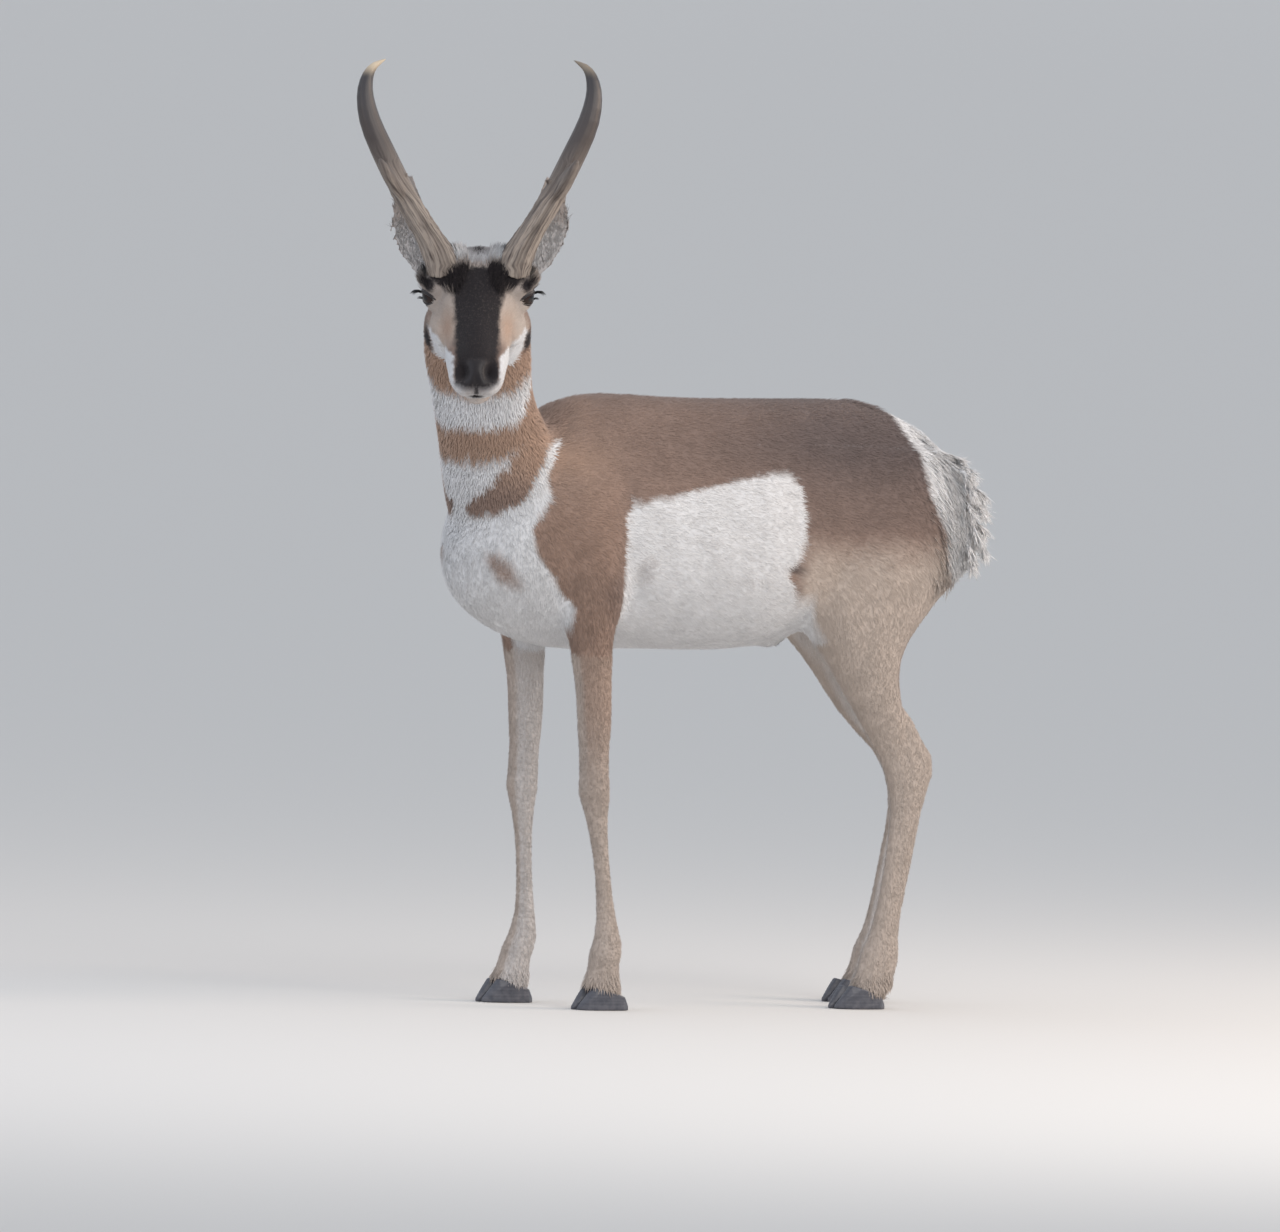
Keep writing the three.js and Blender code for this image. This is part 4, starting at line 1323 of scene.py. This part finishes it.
@dataclass
class Tufts:
    """Many tapering tufts of hair as one closed mesh each, built from arrays."""

    root: Array
    along: Array
    normal: Array
    length: Array  # metres
    width: Array
    lift: Array  # height of the tip
    spot: Array  # each root's place on the unwrap
    warm: Array
    cool: Array
    segments: int = 1
    droop: float = 0.0

    def mesh(self, name: str) -> bpy.types.Mesh:
        """All tufts as one mesh with its masks, its bake patches and soft normals.

        Args:
            name: The mesh's name.

        Returns:
            The mesh.
        """
        count, rings = len(self.root), self.segments
        across = np.cross(self.normal, self.along)
        points, soft, patch = [], [], []
        half = BAKE_PATCH / 2
        for ring in range(rings + 1):
            s = ring / rings
            reach = self.along * (self.length * s)[:, None]
            height = self.lift * (1.35 * s - 0.35 * s * s - self.droop * s**3) - ROOT_SINK * (ring == 0)
            centre = self.root + reach + self.normal * height[:, None]
            if ring == rings:
                points.append(centre)
                soft.append(unit(self.normal + 0.35 * self.along))
                patch.append(self.spot + [0, half])
                continue
            wide = (self.width * (0.5 * (1 - 0.45 * s * s)))[:, None]
            v = -half + BAKE_PATCH * s * 0.8
            for shift, u in ((1, -half), (0, 0.0), (-1, half)):
                crest = self.normal * wide * ((0.55 if rings < 3 else 0.3) if shift == 0 else 0.0)
                points.append(centre + across * wide * shift + crest)
                soft.append(unit(self.normal + 0.45 * shift * across))
                patch.append(self.spot + [u, v + (half * 0.3 if shift == 0 else 0)])
        size = 3 * rings + 1
        block = np.stack(points, 1).reshape(-1, 3)
        faces: list[tuple[int, int, int]] = [(0, 2, 1)]
        for k in range(rings):
            for i in range(3):
                a, b = 3 * k + i, 3 * k + (i + 1) % 3
                if k == rings - 1:
                    faces.append((a, b, size - 1))
                else:
                    faces += [(a, b, b + 3), (a, b + 3, a + 3)]
        pattern = np.array(faces)
        triangles = (pattern[None] + (np.arange(count) * size)[:, None, None]).reshape(-1, 3)
        mesh = bpy.data.meshes.new(name)
        mesh.vertices.add(len(block))
        mesh.loops.add(len(triangles) * 3)
        mesh.polygons.add(len(triangles))
        mesh.vertices.foreach_set("co", block.astype(np.float32).ravel())
        mesh.polygons.foreach_set("loop_start", np.arange(len(triangles)) * 3)
        mesh.loops.foreach_set("vertex_index", triangles.ravel())
        mesh.update(calc_edges=True)
        spots = np.stack(patch, 1).reshape(-1, 2)[triangles.ravel()]
        mesh.uv_layers.new(name=BAKE_MAP).uv.foreach_set("vector", spots.astype(np.float32).ravel())
        rise = np.tile(np.repeat(np.arange(rings + 1) / rings, [3] * rings + [1]), count)
        cool = np.repeat(self.cool, size, axis=0)
        # Painted shade: each tuft darker at its root, which its neighbours shade, and lighter at its tip.
        cool[:, 2] += (0.1 if rings == 1 else 0.2) * (rise - 0.5)
        note(mesh, "marks_a", np.repeat(self.warm, size, axis=0))
        note(mesh, "marks_b", cool)
        mesh.shade_smooth()
        if rings < 3:
            mesh.normals_split_custom_set_from_vertices(np.stack(soft, 1).reshape(-1, 3).tolist())
        return mesh


@dataclass
class Coat:
    """The hair over the hide, in tufts that follow its lie."""

    hide: Hide
    finish: bpy.types.Material
    long_finish: bpy.types.Material
    seed: int = 20
    most_triangles: int = 190000  # in one piece
    _area: Array = field(init=False, repr=False)
    _lie: Array = field(init=False, repr=False)
    _random: np.random.Generator = field(init=False, repr=False)

    def __post_init__(self) -> None:
        """Reads the hide once for all pieces of the coat."""
        s = self.hide.surface
        corners = s.points[s.triangles]
        normal = np.cross(corners[:, 1] - corners[:, 0], corners[:, 2] - corners[:, 0])
        self._area = np.linalg.norm(normal, axis=1) * (0.5 / MM**2)
        self._lie = self.hide.lie()
        self._random = np.random.default_rng(self.seed)

    def sown(self, density: Array, **sizes: Any) -> Tufts:
        """Tufts sown over the hide.

        Args:
            density: Tufts per square mm on each vertex.
            sizes: length, width and lift in mm, each a number or one for each vertex, segments,
                and optionally stray, the degrees that tufts turn from the lie, droop, and towards,
                a direction for each vertex that the tufts take in place of the lie.

        Returns:
            The tufts.
        """
        s, rng = self.hide.surface, self._random
        mean = density[s.triangles].mean(1)
        expected = self._area * mean
        count = int(expected.sum())
        chosen = np.searchsorted(np.cumsum(expected), rng.random(count) * expected.sum())
        chosen = np.minimum(chosen, len(expected) - 1)
        one, two = rng.random(count), rng.random(count)
        flip = one + two > 1
        one, two = np.where(flip, 1 - one, one), np.where(flip, 1 - two, two)
        shares = np.stack([1 - one - two, one, two], 1)[:, :, None]
        corner = s.triangles[chosen]

        def at(values: Array) -> Array:
            """Values of the vertices, at the tufts' roots."""
            rows = values[corner]
            return (rows * (shares if rows.ndim == 3 else shares[:, :, 0])).sum(1)

        def sized(key: str) -> Array:
            """One of the sizes for each tuft, in metres."""
            value = sizes[key]
            spread = 0.7 + 0.6 * rng.random(count)
            return (at(value) if isinstance(value, np.ndarray) else value) * spread * MM

        normal = unit(at(s.normals))
        along = at(self._lie)
        angle = np.radians(sizes.get("stray", 14.0)) * rng.standard_normal(count)
        along = unit(along - (along * normal).sum(1, keepdims=True) * normal)
        if "towards" in sizes:
            along = unit(at(sizes["towards"]))
            normal = unit(normal - (along * normal).sum(1, keepdims=True) * along)
        along = along * np.cos(angle)[:, None] + np.cross(normal, along) * np.sin(angle)[:, None]
        cool = at(self.hide.cool)
        cool[:, 2] = np.clip(0.5 + 0.1 * rng.standard_normal(count), 0.1, 0.95)
        spot = (self.hide.unwrap[chosen] * shares).sum(1)
        return Tufts(
            at(s.points), along, normal, sized("length"), sized("width"), sized("lift"), spot,
            at(self.hide.warm), cool, sizes.get("segments", 1), sizes.get("droop", 0.0),
        )

    def pieces(self, name: str, tufts: Tufts, slot: str) -> None:
        """Adds tufts to the scene in pieces that each stay under the limit of triangles.

        Args:
            name: The piece's name, which a number follows where there are several.
            tufts: The tufts.
            slot: The record's slot that they take their finish from.
        """
        each = 6 * tufts.segments - 2
        share = self.most_triangles // each
        order = np.argsort(tufts.root[:, 1], kind="stable")
        parts = max(1, math.ceil(len(order) / share))
        for number, index in enumerate(np.array_split(order, parts), 1):
            fields = ("root", "along", "normal", "length", "width", "lift", "spot", "warm", "cool")
            some = Tufts(*(getattr(tufts, f)[index] for f in fields), tufts.segments, tufts.droop)
            label = name if parts == 1 else f"{name}_{number}"
            finish = self.long_finish if slot == "coat_white" else self.finish
            added(label, some.mesh(label), finish, slot)

    def grow(self) -> None:
        """All of the coat: the close hair of each region, then the longer hair over it."""
        self._close_hair()
        for name, slot, density, sizes in self._long_hair():
            self.pieces(name, self.sown(density, **sizes), slot)

    def _close_hair(self) -> None:
        """The hair of every region, finest on the muzzle; the nose and the ears' rims are bare."""
        hide = self.hide
        face = hide.anatomy.on_face(hide.surface.points)
        table = {
            key: hide.across_regions(hide.surface, hide.region, key) for key in ("depth", "length", "width")
        }
        slots = {Region.LEG: "coat_buff", Region.TAIL: "coat_white"}
        bare = ease(hide.cool[:, 3], 0.5, 0.2)
        flat = np.linalg.norm(hide.surface.averaged(hide.surface.normals, 4), axis=1)
        bare = bare * np.where(hide.region == Region.EAR.value, ease(flat, 0.6, 0.85), 1.0)
        muzzle = ease(face[:, 1], -200, -60)
        for region, pelage in PELAGES.items():
            on = (hide.region == region.value).astype(float)
            small = 0.55 + 0.45 * muzzle if region is Region.HEAD else 1.0
            fine = 1.0 + 0.6 * (1 - muzzle) if region is Region.HEAD else 1.0
            tufts = self.sown(
                on * pelage.density * bare * fine, length=table["length"] * small,
                width=table["width"] * small, lift=table["depth"] * 0.8, segments=pelage.segments,
            )
            self.pieces(f"coat_{region.name.lower()}", tufts, slots.get(region, "coat_brown"))

    def _long_hair(self) -> list[tuple[str, str, Array, dict[str, Any]]]:
        """The longer hair, place by place.

        Returns:
            The name, slot, density and sizes of each place's hair, in the order of their draws.
        """
        hide, a = self.hide, self.hide.anatomy
        points, region = hide.surface.points, hide.region
        body, face, upright = a.on_body(points), a.on_face(points), a.on_crown(points)
        x, y, z = np.abs(body[:, 0]), body[:, 1], body[:, 2]
        on_head = region == Region.HEAD.value
        crown = ease(face[:, 1], 6, 16) * ease(face[:, 1], 90, 70) * ease(face[:, 2], 12, 30) * on_head
        side = np.sign(upright[:, 0])
        across = (np.abs(upright[:, 0]) - a.horn_foot[0]) / a.horn_radii[0]
        ahead = (upright[:, 1] - a.horn_foot[1]) / a.horn_radii[1]
        apart = np.hypot(across, ahead)
        foot = ease(apart, 1.7, 1.45) * ease(apart, 0.85, 1.0) * ease(upright[:, 2], 0, 12) * on_head
        along_horn = np.stack(
            [side * (0.43 + 0.12 * across), -0.25 + 0.12 * ahead, np.full(len(side), 0.87)], 1
        )
        coronet = ease(z, 52, 40) * (region == Region.LEG.value)
        facing = hide.surface.normals @ a.upright
        lining = ease(-facing[:, 1], 0.2, 0.6) * ease(upright[:, 2], 150, 90)
        lining *= region == Region.EAR.value
        rump = ease(y, 515, 590) * ease(z, 575, 640) * ease(z, 850, 800)
        rump *= np.isin(region, [Region.TRUNK.value, Region.TAIL.value])
        angle = np.abs(Markings(a).throat(body)[0])
        mane = ease(angle, 150, 172) * ease(z, 850, 900) * (region == Region.NECK.value)
        poll = ease(blob(face, (0, 46, 46), (9, 12, 24)), 0.3, 0.8) * on_head
        crest = ease(x, 26, 8) * ease(y, 428, 445) * ease(y, 498, 480) * ease(z, 830, 842)
        return [
            ("crown_hair", "coat_brown", 0.3 * crown,
             {"length": 9.0, "width": 1.1, "lift": 2.6, "segments": 2, "stray": 24.0}),
            ("horn_skirt", "coat_brown", 0.6 * foot,
             {"length": 15.0, "width": 1.2, "lift": 1.2, "segments": 2, "stray": 12.0,
              "towards": along_horn @ a.upright.T}),
            ("coronet_hair", "coat_buff", 0.2 * coronet,
             {"length": 13.0, "width": 1.4, "lift": 3.0, "segments": 2}),
            ("ear_lining", "coat_white", 0.12 * lining,
             {"length": 13.0, "width": 0.8, "lift": 2.0, "segments": 2, "stray": 18.0}),
            ("rump_hair", "coat_white", 0.17 * rump,
             {"length": 20.0, "width": 1.6, "lift": 5.0, "segments": 3, "stray": 9.0, "droop": 0.15}),
            ("mane", "coat_brown", 0.06 * mane, {"length": 24.0, "width": 1.8, "lift": 6.0, "segments": 3}),
            ("poll_tuft", "coat_brown", 0.12 * poll,
             {"length": 10.0, "width": 1.8, "lift": 4.5, "segments": 2}),
            ("croup_crest", "coat_brown", 0.12 * crest,
             {"length": 17.0, "width": 1.8, "lift": 5.0, "segments": 2}),
        ]


@dataclass
class Eye:
    """One eye: the ball, the leathery rims of the lids and the long upper lashes."""

    anatomy: Anatomy
    side: Side
    lash: float = 16.0  # mm long
    lashes: tuple[int, int] = (110, 22)  # above and below
    pupil: tuple[float, float] = (7.5, 3.6)  # half its length and height
    bulge: float = 0.045  # of the cornea, as a share of the ball's radius
    socket: Socket = field(init=False, repr=False)

    def __post_init__(self) -> None:
        """Finds the eye's socket."""
        self.socket = Socket(self.anatomy, self.side)

    def build(self, ball: bpy.types.Material, lid: bpy.types.Material, lash: bpy.types.Material) -> None:
        """Adds the eye's pieces to the scene.

        Args:
            ball: The ball's material.
            lid: The lids' material.
            lash: The lashes' material.
        """
        middle, out, ahead, up = self.socket.axes
        word = self.side.word
        form = bmesh.new()
        bmesh.ops.create_uvsphere(form, u_segments=48, v_segments=32, radius=self.socket.radius)
        turned = np.array([v.co for v in form.verts]) @ np.array([ahead, up, out])
        bulge = 1 + self.bulge * ease(turned @ out, 0.7 * self.socket.radius, self.socket.radius)
        points = middle + turned * bulge[:, None]
        mesh = bpy.data.meshes.new(f"eyeball_{word}")
        form.to_mesh(mesh)
        form.free()
        place(mesh, self.anatomy.from_face(points))
        a, b = turned @ ahead, turned @ up
        note(mesh, "off_axis", np.hypot(a, b) / (0.8 * self.socket.radius) + 2 * (turned @ out < 0))
        slit = np.hypot(a / self.pupil[0], b / self.pupil[1])
        note(mesh, "pupil", slit + 5 * (turned @ out < 0))
        face_out(mesh)
        added(f"eyeball_{word}", mesh, ball, "eye", f"eye_{word}")
        self._lids(lid)
        self._lashes(lash)

    def _lids(self, finish: bpy.types.Material) -> None:
        """A thick rim round the opening, heavier above.

        Args:
            finish: Its material.
        """
        stations, sides = 72, 10
        angle = np.linspace(0, 2 * math.pi, stations, endpoint=False)
        middle = self.socket.axes[0]
        line = self.socket.rim(angle, self.socket.radius + 0.9)
        tangent = unit(np.roll(line, -1, 0) - np.roll(line, 1, 0))
        outer = unit(line - middle)
        across = np.cross(tangent, outer)
        thick = 1.1 + 1.6 * np.maximum(np.sin(angle), 0)
        turnings = np.linspace(0, 2 * math.pi, sides, endpoint=False)
        rows = [
            line + (np.cos(t) * across * 1.25 + np.sin(t) * outer * 0.8) * thick[:, None] for t in turnings
        ]
        points = self.anatomy.from_face(np.stack(rows, 1).reshape(-1, 3))
        faces = [
            (k * sides + i, k * sides + (i + 1) % sides, (k + 1) % stations * sides + (i + 1) % sides,
             (k + 1) % stations * sides + i)
            for k in range(stations) for i in range(sides)
        ]
        mesh = bpy.data.meshes.new(f"eyelids_{self.side.word}")
        mesh.from_pydata(points.tolist(), [], faces)
        face_out(mesh)
        added(f"eyelids_{self.side.word}", mesh, finish, "eye")

    def _lashes(self, finish: bpy.types.Material) -> None:
        """Long stiff lashes that stand out from the upper lid.

        Args:
            finish: Their material.
        """
        rng = np.random.default_rng(7 + self.side.value)
        upper, lower = self.lashes
        count = upper + lower
        angle = np.radians(np.concatenate([108 + 58 * rng.random(upper), 200 + 16 * rng.random(lower)]))
        above = np.arange(count) < upper
        ahead, up = self.socket.axes[2:]
        root = self.socket.rim(angle, self.socket.radius + 1.4)
        along = np.array([self.side.value, 0.1, 0.05]) + 0.15 * ahead * np.cos(angle)[:, None]
        along = unit(along + 0.035 * rng.standard_normal((count, 3)))
        normal = np.tile(up, (count, 1)) + 0.08 * rng.standard_normal((count, 3))
        normal = unit(normal - (normal * along).sum(1, keepdims=True) * along)
        turned = self.anatomy.face.T
        length = self.lash * MM * np.where(above, 1.0, 0.5) * (0.7 + 0.4 * rng.random(count))
        flat = np.full(count, 1.0)
        spot = np.stack([np.linspace(0.1, 0.9, count), np.full(count, 0.5)], 1)
        dark = np.tile([0.0, 0, 1, 0], (count, 1))
        tufts = Tufts(
            self.anatomy.from_face(root), along @ turned, normal @ turned, length, flat * 1.1 * MM,
            np.where(above, 2.6, 0.8) * MM, spot, dark, np.tile([0.0, 0, 0.5, 0], (count, 1)), 3, 3.2,
        )
        name = f"lashes_{self.side.word}"
        added(name, tufts.mesh(name), finish, "eye")


@dataclass
class Horn:
    """One horn's sheath, ribbed and flaking near its foot and smooth towards its hooked tip."""

    anatomy: Anatomy
    side: Side
    voxel: float = 1.5
    foot: float = 34.0  # heights in the upright head frame, mm
    top: float = 328.0
    prong: float = 175.0
    ribs: int = 15
    # Chips that stand off the sheath: side, height, way out from the axis (across, ahead), size in mm.
    spurs: tuple[tuple[Side, float, tuple[float, float], float], ...] = (
        (Side.LEFT, 160.0, (-1.0, -0.1), 8.0),
        (Side.LEFT, 133.0, (1.0, 0.2), 5.0),
        (Side.RIGHT, 168.0, (1.0, 0.0), 5.0),
    )

    def build(self, frame: dict[str, Any], finish: bpy.types.Material) -> None:
        """Adds the horn to the scene.

        Args:
            finish: Its material.
        """
        name = f"horn_{self.side.word}"
        mesh = recast([frame["nodes"][name]], self.voxel)
        surface = Surface.of(mesh)
        points = surface.averaged(surface.points, 30, 0.5, 1.03)
        place(mesh, points)
        surface = Surface.of(mesh)
        crown = self.anatomy.on_crown(surface.points)
        height = crown[:, 2]
        slices = np.clip(((height - self.foot) / 6).astype(int), 0, 60)
        count = np.bincount(slices, minlength=61)
        levels = (np.nonzero(count)[0] + 0.5) * 6 + self.foot
        sums = [np.bincount(slices, crown[:, i], 61)[count > 0] for i in (0, 1)]
        centre = np.stack([np.interp(height, levels, total / count[count > 0]) for total in sums], 1)
        away = crown[:, :2] - centre
        angle = np.arctan2(away[:, 1], away[:, 0])
        rise = np.clip((height - self.foot) / (self.top - self.foot), 0, 1)
        rough = ease(height, self.prong + 25, self.prong - 60)
        wavy = angle + 0.25 * mottle(crown, 30.0, 11)
        ribs = np.sin(wavy * self.ribs) * 0.45 + np.sin(wavy * 7 + height / 40) * 0.35
        warts = np.maximum(mottle(crown * [1, 1, 0.35], 5.0, 12), 0) * 1.3
        burr = np.exp(-np.square((height - self.foot - 10) / 16)) * (0.6 + 0.9 * mottle(crown, 6.0, 13))
        out = (ribs + warts) * rough + burr - 0.5
        for on_side, level, way, size in self.spurs:
            if on_side is self.side:
                apart = np.linalg.norm(away, axis=1) * np.sin(angle - math.atan2(way[1], way[0]))
                facing = (away @ np.array(way)) > 0
                out += size * facing * np.clip(1 - np.hypot(apart / 3.2, (height - level) / 3.8), 0, 1)
        place(mesh, surface.points + surface.normals * (out * MM)[:, None])
        note(mesh, "rise", rise)
        note(mesh, "fibre", np.stack([np.cos(angle) * 9, np.sin(angle) * 9, height / 34], 1))
        ivory = ease(height, self.top - 26, self.top - 6) * (1.0 if self.side is Side.RIGHT else 0.35)
        note(mesh, "ivory", ivory)
        added(f"{name}_sheath", mesh, finish, "horn", name)


@dataclass
class Hoof:
    """One half of a cloven hoof."""

    node: str
    voxel: float = 1.3

    def build(self, frame: dict[str, Any], finish: bpy.types.Material) -> None:
        """Adds the hoof to the scene.

        Args:
            finish: Its material.
        """
        mesh = recast([frame["nodes"][self.node]], self.voxel)
        surface = Surface.of(mesh)
        points = surface.averaged(surface.points, 24, 0.5, 1.03)
        rings = np.sin(points[:, 2] / MM * 2 * math.pi / 4.2) * 0.1 * ease(points[:, 2] / MM, 2, 8)
        points = points + surface.normals * (rings * MM)[:, None]
        points[:, 2] = np.maximum(points[:, 2], 0.0)
        place(mesh, points)
        added(self.node.replace("claw", "hoof"), mesh, finish, "hoof", self.node)


@dataclass
class Studio:
    """A pale floor, soft light and the camera."""

    aim: tuple[float, float, float] = (0.0, 107.5, 546.0)  # in the body frame
    azimuth: float = 55.0
    elevation: float = 2.0
    roll: float = 2.0
    distance: float = 30.0
    mm_per_pixel: float = 1.40
    pixels: tuple[int, int] = (1280, 1232)
    sensor: float = 36.0
    floor_radius: float = 400.0
    lamp_distance: float = 4.0
    sky_strength: float = 0.95
    floor_colour: str = "#d8d5d1"
    sky_colour: str = "#dde3ec"

    def build(self, anatomy: Anatomy) -> None:
        """Adds all of it to the scene.

        Args:
            anatomy: Where the animal stands.
        """
        aim = Vector(anatomy.withers_ground + np.array(self.aim) * MM)
        back = seen_from(self.azimuth, self.elevation)
        right = (-back).cross(Vector((0, 0, 1))).normalized()
        tilt = Matrix.Rotation(math.radians(self.roll), 3, back)
        right, up = tilt @ right, tilt @ right.cross(-back)
        data = bpy.data.cameras.new("camera")
        data.sensor_width = self.sensor
        data.lens = self.sensor * self.distance / (self.pixels[0] * self.mm_per_pixel * MM)
        data.clip_end = 1000.0
        camera = bpy.data.objects.new("camera", data)
        camera.matrix_world = Matrix.Translation(aim + back * self.distance) @ Matrix(
            (right, up, back)
        ).transposed().to_4x4()
        bpy.context.scene.collection.objects.link(camera)
        bpy.context.scene.camera = camera
        self._floor()
        self._light("key", aim, azimuth=88.0, elevation=36.0, size=3.0, power=66.0, colour="#fff9f3")
        self._light("rim", aim, azimuth=152.0, elevation=24.0, size=2.2, power=75.0, colour="#ffead7")
        self._light("fill", aim, azimuth=0.0, elevation=30.0, size=4.0, power=24.0, colour="#e8eeff")
        world = bpy.data.worlds.new("studio")
        world.use_nodes = True
        backdrop = world.node_tree.nodes["Background"]
        backdrop.inputs["Color"].default_value = linear(self.sky_colour)
        backdrop.inputs["Strength"].default_value = self.sky_strength
        bpy.context.scene.world = world
        bpy.context.scene.view_settings.view_transform = "Standard"

    def _floor(self) -> None:
        """A wide disc of matt paper."""
        form = bmesh.new()
        bmesh.ops.create_circle(form, cap_ends=True, segments=96, radius=self.floor_radius)
        mesh = bpy.data.meshes.new("floor")
        form.to_mesh(mesh)
        form.free()
        paper, tree = blank("floor_matt_paper")
        grain = add_node(tree, "TexNoise", {"Scale": 3.0, "Detail": 2.0})
        value = graded(tree, grain.outputs[0], 0.3, 0.7, (0.985, 1.015))
        colour = add_node(tree, "HueSaturation", {"Value": value, "Color": linear(self.floor_colour)})
        finished(tree, Base_Color=colour.outputs[0], Roughness=0.9, Specular_IOR_Level=0.1)
        floor = bpy.data.objects.new("floor", mesh)
        floor.location.z = -0.0005
        mesh.materials.append(paper)
        bpy.context.scene.collection.objects.link(floor)

    def _light(self, name: str, aim: Vector, azimuth: float, elevation: float, size: float, power: float,
               colour: str) -> None:
        """One soft box that looks at the animal, placed like a camera by its angles.

        Args:
            name: The lamp's name.
            aim: Where it looks.
            azimuth: In degrees.
            elevation: In degrees.
            size: Across, in metres.
            power: In watts.
            colour: As sRGB hex.
        """
        data = bpy.data.lights.new(name, "AREA")
        data.shape = "DISK"
        data.size = size
        data.energy = power
        data.color = linear(colour)[:3]
        back = seen_from(azimuth, elevation)
        lamp = bpy.data.objects.new(name, data)
        lamp.location = aim + back * self.lamp_distance
        lamp.rotation_euler = back.to_track_quat("Z", "Y").to_euler()
        bpy.context.scene.collection.objects.link(lamp)


def main() -> None:
    """Builds the whole animal and its studio."""
    logging.basicConfig(level=logging.INFO, format="%(message)s")
    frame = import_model()
    anatomy = Anatomy()
    Studio().build(anatomy)
    hair = HairFinish().material("hide_short_hair")
    hide = Hide(anatomy).cast(frame)
    hide.dress(hair, Markings(anatomy))
    Coat(hide, hair, HairFinish(white="#f1f1f2", scatter=0.7).material("long_white_hair")).grow()
    ball = EyeFinish().material()
    lid = PlainFinish("lid_dark_leather", "#1b1517", 0.45, 1.2).material()
    lash = PlainFinish("lash_stiff_hair", "#120f10", 0.5, 0.8).material()
    horn = HornFinish().material()
    for side in Side:
        Eye(anatomy, side).build(ball, lid, lash)
        Horn(anatomy, side).build(frame, horn)
    keratin = HoofFinish().material()
    for node in (n for n in frame["nodes"] if "claw" in n):
        Hoof(node).build(frame, keratin)


if __name__ == "__main__":
    main()
